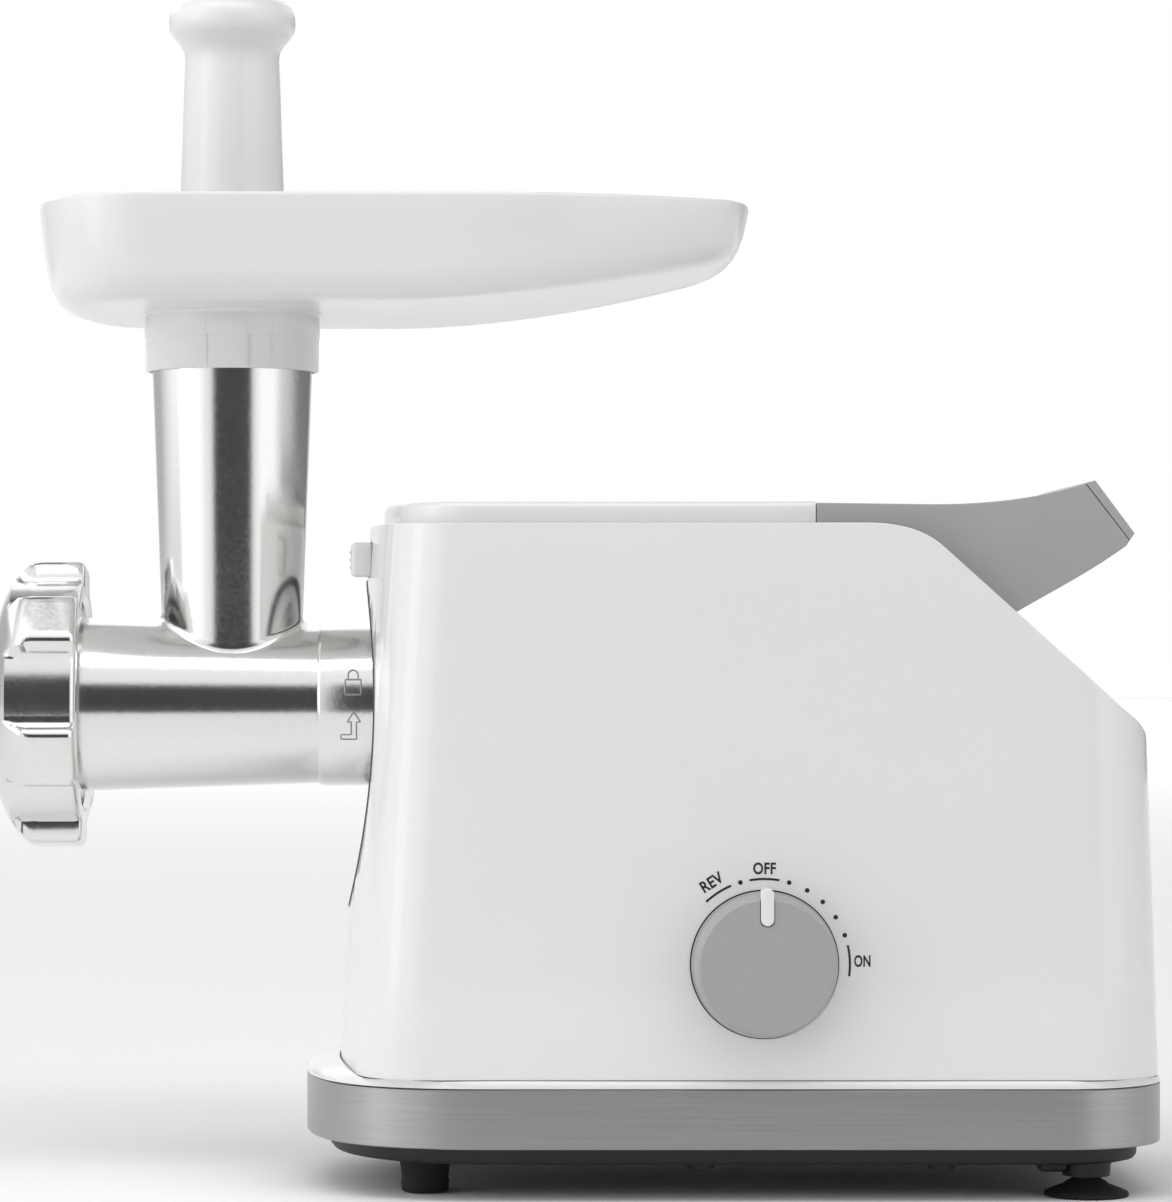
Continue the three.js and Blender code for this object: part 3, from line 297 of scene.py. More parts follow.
def housing_plan(x0, x1, side, front_corner=24, rear_corner=25, bow=6, steps=10):
    """Bowed front, round corners, flat rear; about mid_y, anticlockwise from the rear's middle."""
    corner_y = side - front_corner
    half = line((x1, 0), (x1, side - rear_corner), 6)
    half += arc(x1 - rear_corner, side - rear_corner, rear_corner, 0, 90, steps)
    half += line((x1 - rear_corner, side), (x0 + 31, side), 14)
    half += bezier((x0 + 31, side), (x0 + 18, side), (x0 + bow * 1.5, side - 9), (x0 + bow, corner_y),
                   steps + 4)
    half += bezier((x0 + bow, corner_y), (x0 + bow / 3, corner_y * 2 / 3), (x0, corner_y / 3), (x0, 0), 10)
    half.append((x0, 0))
    return mirrored(half)


def plinth_plan(inset=0, steps=14):
    x0, x1 = band_low[0] + inset, band_high[0] - inset
    side = (band_high[1] - band_low[1]) / 2 - inset
    corner = 36 - inset
    half = line((x1, 0), (x1, side - corner), 6)
    half += arc(x1 - corner, side - corner, corner, 0, 90, steps)
    half += line((x1 - corner, side), (x0 + 62, side), 16)
    half += bezier((x0 + 62, side), (x0 + 16, side), (x0, side * 0.62), (x0, 0), 18)
    half.append((x0, 0))
    return mirrored(half)


def at_height(outline, z):
    return [(x, mid_y + y, z) for x, y in outline]


def drawn_in(outline, amount, centre):
    """An outline pulled towards its middle line by about the same amount all round."""
    points = []
    for x, y in outline:
        dx, dy = x - centre, y
        length = math.hypot(dx, dy) or 1
        points.append((x - amount * dx / length, y - amount * dy / length))
    return points


def across(name, outline, start, end):
    """A side view, as (x, z) points, extruded across the machine between two distances from its middle."""
    return loft(name, [[(x, mid_y + y, z) for x, z in outline] for y in (start, end)])


# ------------------------------------------------------------------ housing
def leaned(outline, z):
    """Front and rear faces lean in as they rise."""
    rise = (z - housing_low[2]) / (housing_high[2] - housing_low[2])
    centre = (housing_low[0] + housing_high[0]) / 2
    moved = []
    for x, y in outline:
        share = max(-1, min(1, (x - centre) / 90))
        moved.append((x - share * (front_lean if share < 0 else rear_lean) * rise, mid_y + y, z))
    return moved


def side_profile(inset=0):
    """Top, sloping shoulder and rear of the housing in side view, as (x, z)."""
    top = housing_high[2] - inset
    rear = housing_high[0] - inset
    slope_x, slope_z = rear - 75 - inset * 0.4, top - 7.9
    foot_x, foot_z = slope_x + 56, slope_z - 50.4
    low = housing_low[2] - 20
    points = line((rear + 20, low), (rear - 3.4, foot_z - 18), 4)
    points += bezier((rear - 3.4, foot_z - 18), (rear - 5, foot_z - 8), (foot_x + 9, foot_z - 8.2),
                     (foot_x, foot_z), 10)
    points += line((foot_x, foot_z), (slope_x, slope_z), 6)
    points += bezier((slope_x, slope_z), (slope_x - 6.5, slope_z + 5.8), (slope_x - 15, top),
                     (slope_x - 25, top), 12)
    points += line((slope_x - 25, top), (housing_low[0] - 30, top), 4)
    points += line((housing_low[0] - 30, top), (housing_low[0] - 30, low), 2)
    points += line((housing_low[0] - 30, low), (rear + 20, low), 4)
    return points


def housing_body(name, inset, edge):
    """The housing as a closed form: plan and side view together, with its top edge rounded."""
    plan = housing_plan(housing_low[0] + inset, housing_high[0] - inset, half_width - inset)
    low, high = housing_low[2] - (5 if inset else 0), housing_high[2] + 10
    body = loft(name, [leaned(plan, low + (high - low) * i / 6) for i in range(7)])
    combine(body, "INTERSECT", across("profile", side_profile(inset), -95, 95))
    return finish_edges(body, edge, 5, 40) if edge else body


def make_housing():
    shell = housing_body("housing_shell", 0, 3.2)
    inner = housing_body("inside", wall, 0)
    front = housing_low[0] - 20
    cup = bar(59.6, front, recess_floor + wall, "X", (mid_y, recess_z), 96)
    guide = block(front, recess_floor + wall, mid_y - 32, mid_y - 12, 204, 224)
    carve(inner, cup, guide)
    carve(shell, inner)
    carve(shell, bar(57, front, recess_floor, "X", (mid_y, recess_z), 128))
    carve(shell, bar(33, recess_floor - 3, recess_floor + 5, "X", (mid_y, axis_z), 64))
    half = 6.3
    _, y, z = middle("release_button")
    carve(shell, rounded_block(front, recess_floor + 5, y - half, y + half, z - half, z + half, 2))
    dial_x, _, dial_z = middle("dial")
    carve(shell, bar(3.4, housing_low[1] - 5, housing_low[1] + 5, "Y", (dial_x, dial_z), 24))
    inlet_low, inlet_high = reach("lead_inlet")
    carve(shell, rounded_block(housing_high[0] - 16, housing_high[0] + 5, inlet_low[1] + 4 - gap,
                               inlet_high[1] - 4 + gap, inlet_low[2] + 4 - gap, inlet_high[2] - 4 + gap, 1))
    return smooth(finish_edges(shell, 0.5, 2, 50), 35)


def make_cover():
    side = (cover_high[1] - cover_low[1]) / 2
    plan = housing_plan(cover_low[0], housing_high[0], side, front_corner=20)
    top, low = cover_high[2], cover_low[2]
    centre = cover_low[0] + 70
    edge = 2.4
    rings = [at_height(plan, low), at_height(plan, top - edge)]
    for step in range(1, 6):
        turn = math.radians(18 * step)
        drawn = drawn_in(plan, edge * (1 - math.cos(turn)), centre)
        rings.append(at_height(drawn, top - edge + edge * math.sin(turn)))
    cover = loft("cover_shell", rings)
    carve(cover, block(cover_high[0], 300, -120, 120, low - 5, top + 5))
    hollow = loft("hollow", [at_height(drawn_in(plan, wall, centre), z) for z in (low - 5, top - wall)])
    carve(hollow, block(cover_high[0] - wall, 300, -120, 120, low - 10, top + 5))
    carve(cover, hollow)
    return smooth(finish_edges(cover, 0.25, 2, 60))


def grip_plan(x1, side):
    """The grip's sides bow inwards towards its end."""
    bend, bow, edge = x1 - 47, 130, side - 0.02
    turns = [math.radians(24 - 3 * i) for i in range(9)]
    half = [(x1 + 8, 0), (x1 + 8, side - 14)]
    half += [(bend + bow * math.sin(turn), edge - bow * (1 - math.cos(turn))) for turn in turns]
    return mirrored(half + [(20, edge), (20, 0)])


def make_handle():
    """Grey grip: cheeks on the shoulder, swept up to a lip at the rear, with the hand's opening."""
    x0, x1 = handle_low[0], handle_high[0]
    top, rear = cover_high[2], housing_high[0]
    base = housing_high[2] + gap
    side = (handle_high[1] - handle_low[1]) / 2
    foot, lip_low, lip_top = (rear - 49.6, base - 30.2), (x1 - 3, top - 14.8), (x1 - 14, top + 7.2)
    tip = (x1, top - 10.6)
    outline = line((x0, base), (rear - 99, base), 4)
    cheek = (rear - 74.6, base - 7.8)
    outline += bezier((rear - 99, base), (rear - 89, base), (rear - 81, base - 1.8), cheek, 8)
    outline += line(cheek, foot, 4)
    outline += bezier(foot, (x1 - 29, base - 23.2), (x1 - 15, base - 16.2), lip_low, 12)
    outline += line(lip_low, tip, 2) + line(tip, lip_top, 6)
    outline += bezier(lip_top, (x1 - 28, top + 2.2), (x1 - 46, top - 1.2), (x0 + 38, top - 1), 12)
    outline += line((x0 + 38, top - 1), (x0, top - 0.5), 3)
    outline += line((x0, top - 0.5), (x0, base), 2)
    grip = across("grip", outline, -side - 2, side + 2)
    plan = loft("plan", [at_height(grip_plan(x1, side), z) for z in (150, 260)])
    combine(grip, "INTERSECT", plan)
    finish_edges(grip, 1.2, 3, 40)
    reach_in = side - 14
    carve(grip, rounded_block(x1 - 78.5, x1 - 30.5, mid_y - reach_in, mid_y + reach_in, 150, 260, 9, 6))
    finish_edges(grip, 1.4, 3, 50)
    # A fine groove runs round the lip, a little inside its end.
    groove = across("groove", [(x1 - 25.3, top + 16.2), (x1 + 3.7, top - 19.6), (x1 + 3.3, top - 19.6),
                               (x1 - 25.7, top + 16.2)], -90, 90)
    core = across("core", [(x1 - 20, top + 5.1), (x1 - 14.9, top + 6.3), (x1 - 2.4, top - 10.5),
                           (x1 - 8, top - 16.6)], 9.2 - side, side - 9.2)
    carve(grip, carve(groove, core))
    return smooth(grip, 35)


def make_gasket():
    outer, inner, edge = 56.6, 53.6, 0.6
    x0, x1 = gasket_low[0], gasket_high[0]
    profile = [(inner, x1), (outer, x1), (outer, x0 + edge), (outer - edge, x0), (inner + edge, x0),
               (inner, x0 + edge)]
    return smooth(turned("recess_ring", profile, "X", (mid_y, recess_z), 128, closed=True))


def front_face(y, z):
    """Where the bowed, leaning front of the housing is, at a place across and up it."""
    outline = housing_plan(housing_low[0], housing_high[0], half_width)
    front = [point for point in outline if point[0] < housing_low[0] + 31 and point[1] >= 0]
    front.sort(key=lambda point: point[1])
    share = abs(y - mid_y)
    for (x, v), (u, w) in zip(front, front[1:]):
        if v <= share <= w:
            x += (u - x) * (share - v) / (w - v)
            break
    return leaned([(x, 0)], z)[0][0]


def bead(name, path, radius, away, closed=True, sides=8):
    """A thin round bead along a path; away gives the direction that faces outwards at a point."""
    rings = []
    for i, point in enumerate(path):
        after = path[(i + 1) % len(path)] if closed or i + 1 < len(path) else point
        before = path[i - 1] if closed or i else point
        along = (Vector(after) - Vector(before)).normalized()
        out = Vector(away(point)).normalized()
        across = along.cross(out).normalized()
        out = across.cross(along)
        rings.append([Vector(point) + radius * (math.cos(t) * across + math.sin(t) * out)
                      for t in (2 * math.pi * k / sides for k in range(sides))])
    return loft(name, rings, closed)


def make_trim():
    """Dark seal bead that follows the rim of the round recess over the bowed front."""
    path = []
    for i in range(120):
        turn = 2 * math.pi * i / 120
        y, z = mid_y + 56.9 * math.cos(turn), recess_z + 56.9 * math.sin(turn)
        path.append((front_face(y, z) + 0.15, y, z))
    return smooth(bead("recess_seal", path, 0.55, lambda point: (-1, 0, 0)), 60)


def on_ring(points):
    """Places flat points (along the head, up from its axis) on the near side of its rear ring."""
    return [(x, mid_y - math.sqrt(28.5 ** 2 - h ** 2), axis_z + h) for x, h in points]


def refined(points, closed, step=0.7):
    """Adds points along a path so that it can follow a round surface."""
    ends = points + points[:1] if closed else points
    path = []
    for (x, h), (u, k) in zip(ends, ends[1:]):
        path += line((x, h), (u, k), max(2, round(math.hypot(u - x, k - h) / step)))
    return path if closed else path + [ends[-1]]


def make_marks():
    """Raised outlines on the head's rear ring: a closed lock, and an arrow for the way it turns."""
    x, up = -75.4, 5.6
    lock = [(x - 2.7, up - 2), (x + 2.7, up - 2), (x + 2.7, up + 3.2), (x - 2.7, up + 3.2)]
    bow = [(x - 1.7, up + 3.4), (x - 1.7, up + 4.6)] + arc(x, up + 4.8, 1.7, 180, 0, 8)
    bow += [(x + 1.7, up + 4.6), (x + 1.7, up + 3.4)]
    low = -8.4
    arrow = [(x - 4.2, low - 3.4), (x + 1.2, low - 3.4), (x + 1.2, low + 2.6), (x + 2.6, low + 2.6),
             (x + 0.3, low + 6.2), (x - 2, low + 2.6), (x - 0.6, low + 2.6), (x - 0.6, low - 1.8),
             (x - 4.2, low - 1.8)]

    def away(point):
        return (0, point[1] - mid_y, point[2] - axis_z)

    beads = [bead("lock", on_ring(refined(lock, True)), 0.3, away),
             bead("bow", on_ring(refined(bow, False)), 0.3, away, closed=False),
             bead("arrow", on_ring(refined(arrow, True)), 0.27, away)]
    return smooth(merge("lock_marks", *beads), 60)


def make_button():
    """Rounded push button with two moulded grip ridges on its face, on its square stem."""
    x0 = button_low[0]
    _, y, z = middle("release_button")
    half = 6
    cap = rounded_block(x0 + 0.6, recess_floor - 7, y - half, y + half, z - half, z + half, 1.8, 5)
    ridges = [rounded_block(x0, x0 + 3, y - 4, y + 4, z + up - 0.7, z + up + 0.7, 0.6, 3)
              for up in (-2.6, 0, 2.6)]
    stem = rounded_block(x0 + 6, button_high[0], y - 3, y + 3, z - 3, z + 3, 0.3, 2)
    return smooth(merge("button_cap", cap, stem, *ridges))


# ------------------------------------------------------------------ base
def make_ledge():
    """White skirt that runs from the band up to the foot of the housing, longest at the nose."""
    outer = plinth_plan(0)

    def around_foot(front, rear, side):
        """The housing's plan, grown by these amounts, with its points lined up with the outer plan's."""
        plan = housing_plan(housing_low[0] - front, housing_high[0] + rear, half_width + side)
        return [nearest_by_angle(point, plan) for point in outer]

    low = ledge_low[2]
    inner = around_foot(0.45, 0.3, 0.35)
    rings = [at_height(drawn_in(outer, 0.0, 50), low)]
    for share, lift in ((0, 0.7), (0.05, 1.2), (0.2, 1.9), (0.5, 2.5), (0.8, 2.9), (1, 3.0)):
        ring = []
        for (x, y), (u, v) in zip(outer, inner):
            run = math.hypot(x - u, y - v)
            rise = lift * (0.75 + min(run, 12) / 12 * 0.9)
            ring.append((x + (u - x) * share, mid_y + y + (v - y) * share, low + rise))
        rings.append(ring)
    inside, under = around_foot(-8, -8, -8), around_foot(0.3, 0.2, 0.2)
    rings.append(at_height(under, ledge_high[2]))
    rings.append(at_height(inside, ledge_high[2]))
    rings.append(at_height(inside, low))
    return smooth(loft("plinth_ledge", rings, closed=True), 50)


def nearest_by_angle(point, outline):
    """Where the ray from the middle of the base through a point crosses an outline."""
    centre = 55
    want = math.atan2(point[1], point[0] - centre)
    best = None
    for (x, y), (u, v) in zip(outline, outline[1:] + outline[:1]):
        a = math.atan2(y, x - centre) - want
        b = math.atan2(v, u - centre) - want
        a = (a + math.pi) % (2 * math.pi) - math.pi
        b = (b + math.pi) % (2 * math.pi) - math.pi
        if a <= 1e-9 <= b + 2e-9 and b - a < 1:
            t = 0 if b == a else -a / (b - a)
            best = (x + (u - x) * t, y + (v - y) * t)
    return best or outline[0]


def make_band():
    low, high = band_low[2], band_high[2]
    rings = [at_height(plinth_plan(inset), z) for inset, z in (
        (0.35, low), (0, low + 0.35), (0, high - 0.35), (0.35, high), (1, high), (1, low))]
    return smooth(loft("steel_band", rings, closed=True), 40)


def make_pan():
    """Black tray inside the band, with its set-in sole, vents, legs and screw bosses."""
    low, step, top = 11.4, band_low[2] + gap, band_high[2] - 0.2
    rings = [at_height(plinth_plan(inset), z) for inset, z in (
        (11, low), (9, low + 0.5), (8, low + 1.8), (7.6, step), (1.6, step), (1.4, step + 0.4), (1.4, top),
        (3.6, top), (3.6, step + 2.2), (10.4, step + 2.2), (10.6, low + wall))]
    pan = loft("pan_tray", rings)
    for index in range(5):
        x = 89 + index * 11
        carve(pan, block(x, x + 4, mid_y - 28, mid_y + 28, low - 5, low + wall + 5))
    parts = [pan]
    for side in ("dial_side", "plain_side"):
        cup_x, cup_y, _ = middle("suction_foot_" + side)
        leg = [(0, low + 1), (8.9, low + 1), (8.3, low - 1.2), (8, 6.6), (5.6, 6.6), (5.4, 7.4), (0, 7.4)]
        parts.append(turned("leg", leg, "Z", (cup_x, cup_y), 40))
        parts.append(rounded_block(cup_x - 16.5, cup_x - 7, cup_y - 6, cup_y + 6, 8.2, low + 1, 1.2, 3))
        for name in ("pan_screw_1_", "pan_screw_2_"):
            x, y, _ = middle(name + side)
            boss = [(5, low + 0.5), (4.6, low - 1.9), (3.6, low - 1.9), (3.4, low + 0.4), (0, low + 0.4)]
            parts.append(turned("boss", boss, "Z", (x, y), 24))
    return smooth(merge("pan_tray", *parts), 40)


def make_front_foot(side):
    x, y, _ = middle("front_foot_" + side)
    profile = [(0, 0), (7.4, 0), (8.1, 0.5), (8.2, 3.8), (7.9, 4.6), (8.4, 8.5), (8.8, 10.9), (2.9, 10.9),
               (2.9, 15), (0, 15)]
    return smooth(turned("foot_" + side, profile, "Z", (x, y), 48), 40)


def make_suction_foot(side):
    x, y, _ = middle("suction_foot_" + side)
    profile = [(0, 1.7), (5, 1.6), (12.6, 0.2), (14.2, 0), (14.5, 0.4), (13.9, 1.3), (11, 2.5), (8, 3.6),
               (6.6, 4.7), (5.0, 5.6), (4.7, 6.2), (4.7, 8.8), (0, 8.8)]
    return smooth(turned("cup_" + side, profile, "Z", (x, y), 56), 50)


# ------------------------------------------------------------------ grinding head
def barrel_radius(x):
    """Outside of the barrel between the flange and the rear ring: it widens towards the nut."""
    share = (x + 170) / (-88 + 170)
    return 30.4 - 2.7 * max(0, min(1, share))


def make_head():
    front, rear = head_low[0], head_high[0]
    ring = -87  # the rear ring starts here
    back = recess_floor - gap
    skin = [(0, front), (35.2, front), (36, front + 0.8), (36, front + 14), (35, front + 15),
            (31.2, front + 17.6)]
    steps, start, end = 22, -171, ring - 0.8
    for i in range(steps + 1):
        x = start + (end - start) * i / steps
        skin.append((barrel_radius(x), x))
    skin += [(28.4, ring), (28.5, ring + 0.2), (28.5, recess_floor - 0.8), (28.1, back), (26, back),
             (26, rear), (0, rear)]
    axis = (mid_y, axis_z)
    head = turned("head_casting", skin, "X", axis, 112)
    lugs = [wedge(30.5, angle - 17, angle + 17, rear - 5, rear - 0.5) for angle in (90, 210, 330)]
    combine(head, "UNION", hopper_tube(), *lugs)
    # The latch's pin runs in this slot while the head turns.
    slot = carve(bar(27, rear - 4, rear + 5, "X", axis), bar(21.8, rear - 5, rear + 6, "X", axis))
    combine(slot, "INTERSECT", wedge(30, 46.5, 97, rear - 5, rear + 6))
    throat = turned("throat", [(19.6, axis_z + 5), (25.6, head_high[2] + 1)], "Z", (hopper_x, mid_y))
    carve(head, bar(23.3, front + 4, ring + 1, "X", axis, 64),
          bar(31.3, front - 2, front + 4.6, "X", axis, 80), bar(9, ring, rear, "X", axis, 32),
          bar(17, ring + 15, rear + 5, "X", axis), slot, throat)
    return smooth(head, 34)


def wedge(radius, start, end, x0, x1):
    """A sector about the barrel's axis, in front view."""
    last = math.radians(end)
    outline = arc(mid_y, axis_z, radius, start, end, 10)
    outline += [(mid_y + radius * math.cos(last), axis_z + radius * math.sin(last)), (mid_y, axis_z)]
    return loft("wedge", [[(x, y, z) for y, z in outline] for x in (x0, x1)])


def hopper_tube():
    """Tapered tube with a soft saddle where it runs into the barrel."""
    top = head_high[2]
    count = 96
    foot_z = 37

    def tube_radius(z):
        return 28.6 - (top - z) * 0.0372

    def depth(z):
        """The tube is a little slimmer across than along the barrel, most of all at its foot."""
        return (28.6 - (top - z) * 0.061) / tube_radius(z)

    def casting_height(radius, phi):
        """Height of the barrel's skin above its axis, at a place round the tube."""
        body = barrel_radius(hopper_x + radius * math.cos(phi))
        across = radius * math.sin(phi) * depth(axis_z + 20)
        return math.sqrt(max(body ** 2 - across ** 2, 0))

    centre = (hopper_x, mid_y)
    steps = 8
    saddle = [[] for _ in range(steps + 1)]
    for i in range(count):
        phi = 2 * math.pi * i / count
        radius = tube_radius(axis_z + 20)
        meet = casting_height(radius, phi)
        steep = math.atan2(radius * math.sin(phi) ** 2, max(meet, 1))
        reach_out = 3.4 - 1.2 * math.sin(phi) ** 2
        outer = radius + reach_out * math.cos(steep)
        foot = (outer, casting_height(outer, phi) - 0.2)
        head_point = (tube_radius(axis_z + meet + reach_out), meet + reach_out)
        ends = (foot, (radius, meet), head_point)
        for step in range(steps + 1):
            t = step / steps
            weights = ((1 - t) ** 2, 2 * t * (1 - t), t * t)
            r, h = (sum(weight * end[k] for weight, end in zip(weights, ends)) for k in (0, 1))
            across = r * math.sin(phi) * depth(axis_z + max(h, 20))
            saddle[step].append((hopper_x + r * math.cos(phi), mid_y + across, axis_z + h))
    rings = [circle(10, axis_z, centre, count)] + saddle
    for i in range(15):
        z = axis_z + foot_z + (top - 0.8 - axis_z - foot_z) * i / 14
        rings.append([(x, mid_y + (y - mid_y) * depth(z), z)
                      for x, y, z in circle(tube_radius(z), z, centre, count)])
    rings.append(circle(tube_radius(top) - 0.5, top, centre, count))
    return loft("tube", rings)


def lobe_radius(turn):
    """Outline of the ring nut: six broad lobes with soft shoulders and hollow valleys."""
    valley, lobe = 43.5, 50
    away = abs((math.degrees(turn) - 82 + 30) % 60 - 30)
    if away <= 9:
        return (lobe - 0.5) / math.cos(math.radians(away))
    if away <= 12:
        return lobe + 0.1 - 0.9 * ((away - 9) / 3) ** 2
    if away <= 15:
        share = (away - 12) / 3
        return lobe - 0.8 - (lobe - valley - 0.8) * (share * share * (3 - 2 * share))
    return valley


def make_nut():
    front, rear = nut_low[0], nut_high[0]
    count = 240
    seat = plate_low[0] - gap

    def ring(x, cap, inset=0):
        points = []
        for i in range(count):
            turn = 2 * math.pi * i / count
            radius = min(lobe_radius(turn) - inset, cap)
            points.append((x, mid_y + radius * math.cos(turn), axis_z + radius * math.sin(turn)))
        return points

    rings = [ring(seat, 25), ring(front + 1.0, 28.6), ring(front + 0.25, 29.1), ring(front, 29.8)]
    rings += [ring(front + rise, cap) for rise, cap in (
        (0.2, 31), (1.1, 34), (2.4, 37.5), (4.1, 41), (5.7, 43.6), (7.4, 45.8), (9.3, 47.7), (10.6, 48.7),
        (11.9, 49.4))]
    rings += [ring(front + 13.4, 60, 0.2), ring(front + 15, 60), ring(rear - 2.4, 60),
              ring(rear - 1.0, 60, 0.4), ring(rear - 0.3, 60, 1.1), ring(rear, 60, 2.2), ring(rear, 38),
              ring(rear - 1.6, 36.4), ring(seat, 36.4)]
    return smooth(loft("nut_ring", rings, closed=True), 40)


def make_plate():
    """Ground plate with three rings of round holes about its centre bore."""
    x0, x1 = plate_low[0], plate_high[0]
    profile = [(0, x0), (30.6, x0), (31, x0 + 0.4), (31, x1 - 0.4), (30.6, x1), (0, x1)]
    plate = turned("plate_disc", profile, "X", (mid_y, axis_z), 96)
    pins = [bar(4.3, x0 - 1, x1 + 1, "X", (mid_y, axis_z), 32)]
    for radius, count, start in ((8.6, 8, 0), (14.6, 14, 0.2), (20.4, 20, 0.1), (26, 26, 0)):
        for i in range(count):
            turn = 2 * math.pi * i / count + start
            centre = (mid_y + radius * math.cos(turn), axis_z + radius * math.sin(turn))
            pins.append(bar(1.9, x0 - 1, x1 + 1, "X", centre, 14))
    carve(plate, merge("pins", *pins))
    return smooth(plate)


# ------------------------------------------------------------------ tray and pusher
def tray_plan():
    x0, x1 = tray_low[0], tray_high[0]
    side = (tray_high[1] - tray_low[1]) / 2
    length = x1 - x0
    front, rear = x0 + length * 0.17, x0 + length * 0.58
    half = bezier((x1, 0), (x1, side * 0.35), (x1 - 2, side - 34), (x1 - 11, side - 28), 16)
    half += bezier((x1 - 11, side - 28), (x1 - 33, side - 13), (rear + 36, side), (rear, side), 14)
    half += line((rear, side), (front, side), 14)
    half += bezier((front, side), (x0 + 13, side), (x0, side * 0.68), (x0, 0), 22)
    half.append((x0, 0))
    return mirrored(half)


def floor_rise(x):
    """How far the tray's floor has climbed at a place along it."""
    start, end = tray_low[0] + 123, tray_high[0]
    share = max(0, (x - start) / (end - start))
    return 17.5 * share ** 1.7


def make_tray():
    plan = tray_plan()
    rim, collar_low = tray_high[2], tray_low[2]
    floor = 301.8

    def ring(draw, z_share, thick=0.0):
        """draw pulls the outline in; z_share runs from the floor, 0, to the rim, 1."""
        points = []
        for x, y in drawn_in(plan, 0, hopper_x):
            centre = max(tray_low[0] + 85, min(tray_high[0] - 70, x))
            dx, dy = x - centre, y
            length = math.hypot(dx, dy) or 1
            u, v = x - draw * dx / length, y - draw * dy / length
            base = floor + thick + floor_rise(u)
            points.append((u, mid_y + v, base + (rim - base) * z_share))
        return points

    def towards_hole(share, radius, thick, draw):
        points = []
        for (x, y), (u, v, _) in zip(plan, ring(draw, 0, thick)):
            turn = math.atan2(y, x - hopper_x)
            a, b = hopper_x + radius * math.cos(turn), mid_y + radius * math.sin(turn)
            p, q = a + (u - a) * share, b + (v - b) * share
            points.append((p, q, floor + thick + floor_rise(p)))
        return points

    def round_ring(radius, z):
        return [(hopper_x + radius * math.cos(math.atan2(y, x - hopper_x)),
                 mid_y + radius * math.sin(math.atan2(y, x - hopper_x)), z) for x, y in plan]

    rings = [ring(draw, share) for draw, share in (
        (0.5, 1.0), (0.1, 0.985), (0, 0.955), (0.6, 0.8), (1.8, 0.5), (3.4, 0.28), (4.6, 0.17), (6.4, 0.085),
        (9.2, 0.028), (13, 0.0))]
    rings += [towards_hole(share, 31.4, 0, 13) for share in (0.85, 0.65, 0.45, 0.25, 0.1, 0.0)]
    seat = head_high[2] + gap
    rings += [round_ring(radius, z) for radius, z in (
        (30.6, floor - 1.2), (30.4, floor - 2), (30.4, collar_low + 0.5), (29.9, collar_low),
        (29.3, collar_low), (29.1, collar_low + 0.5), (29.1, seat), (25.6, seat),
        (25.6, floor + wall - 0.8), (26.2, floor + wall))]
    rings += [towards_hole(share, 26.2, wall, 16) for share in (0.05, 0.2, 0.4, 0.6, 0.8)]
    rings += [ring(draw, share, wall) for draw, share in (
        (16, 0.0), (12, 0.02), (9, 0.09), (7, 0.2), (4.6, 0.5), (3.4, 0.8))]
    rings += [ring(draw, share) for draw, share in ((2.7, 0.955), (2.3, 0.985), (1.9, 1.0))]
    tray = loft("tray_shell", rings, closed=True)
    ribs = []
    for turn, width in ((-104.3, 0.9), (-77.2, 0.5), (-75.4, 0.5), (-60, 0.7), (60, 0.9)):
        a = math.radians(turn)
        rib = rounded_block(-0.6, 0.45, -width / 2, width / 2, collar_low + 0.6, floor + 0.5, 0.2, 2)
        rib.rotation_euler = (0, 0, a)
        rib.location = Vector((hopper_x + 30.3 * math.cos(a), mid_y + 30.3 * math.sin(a), 0)) * mm
        ribs.append(settle(rib))
    step = [(30.2, floor - 9), (30.75, floor - 8.4), (30.75, floor - 1), (30.2, floor - 1)]
    band = turned("collar_step", step, "Z", (hopper_x, mid_y), 96, closed=True)
    return smooth(merge("tray_shell", tray, band, *ribs), 50)


def make_pusher():
    low, high = pusher_low[2], pusher_high[2]
    flange = 304.7
    profile = [(0, low), (18.8, low), (20, low + 0.6), (20.4, low + 2), (20.4, flange), (28, flange),
               (28.4, flange + 0.5), (28.4, flange + 2.2), (27.8, flange + 2.8), (21.2, flange + 3.4),
               (19.8, flange + 5), (18.9, flange + 20), (18.4, flange + 34), (17.6, flange + 55),
               (17, flange + 74), (16.6, flange + 84)]
    profile += [(radius, high - down) for radius, down in (
        (16.5, 21), (16.9, 18.4), (18.3, 16.2), (20.6, 13.6), (22, 11.2), (22.3, 8.8), (22.1, 6.2),
        (20.9, 3.2), (18.6, 1.2), (15, 0.35), (9, 0.05), (0, 0))]
    return smooth(turned("pusher_body", profile, "Z", (hopper_x, mid_y), 96), 50)


# ------------------------------------------------------------------ dial and its scale
def make_dial():
    x, z = middle("dial")[0], middle("dial")[2]
    front, back = dial_low[1], dial_high[1]
    profile = [(24.1, back), (24.5, back - 0.4), (24.5, back - 2), (24.3, back - 2.5), (23.8, back - 2.7),
               (23.7, back - 3.3), (24.0, back - 3.8), (23.9, back - 5), (23.3, front + 2.2), (23, front + 1),
               (22.6, front + 0.3), (21.9, front)]
    knob = turned("dial_knob", profile, "Y", (x, z), 112)
    groove = rounded_block(x - 2.5, x + 2.5, front - 4, front + 2, z + 13.3, z + 30, 2.2, 6)
    carve(knob, groove, bar(3.3, front + 5, back + 1, "Y", (x, z), 24))
    smooth(knob, 40)
    return use(knob, "WEIGHTED_NORMAL", keep_sharp=True, weight=100)


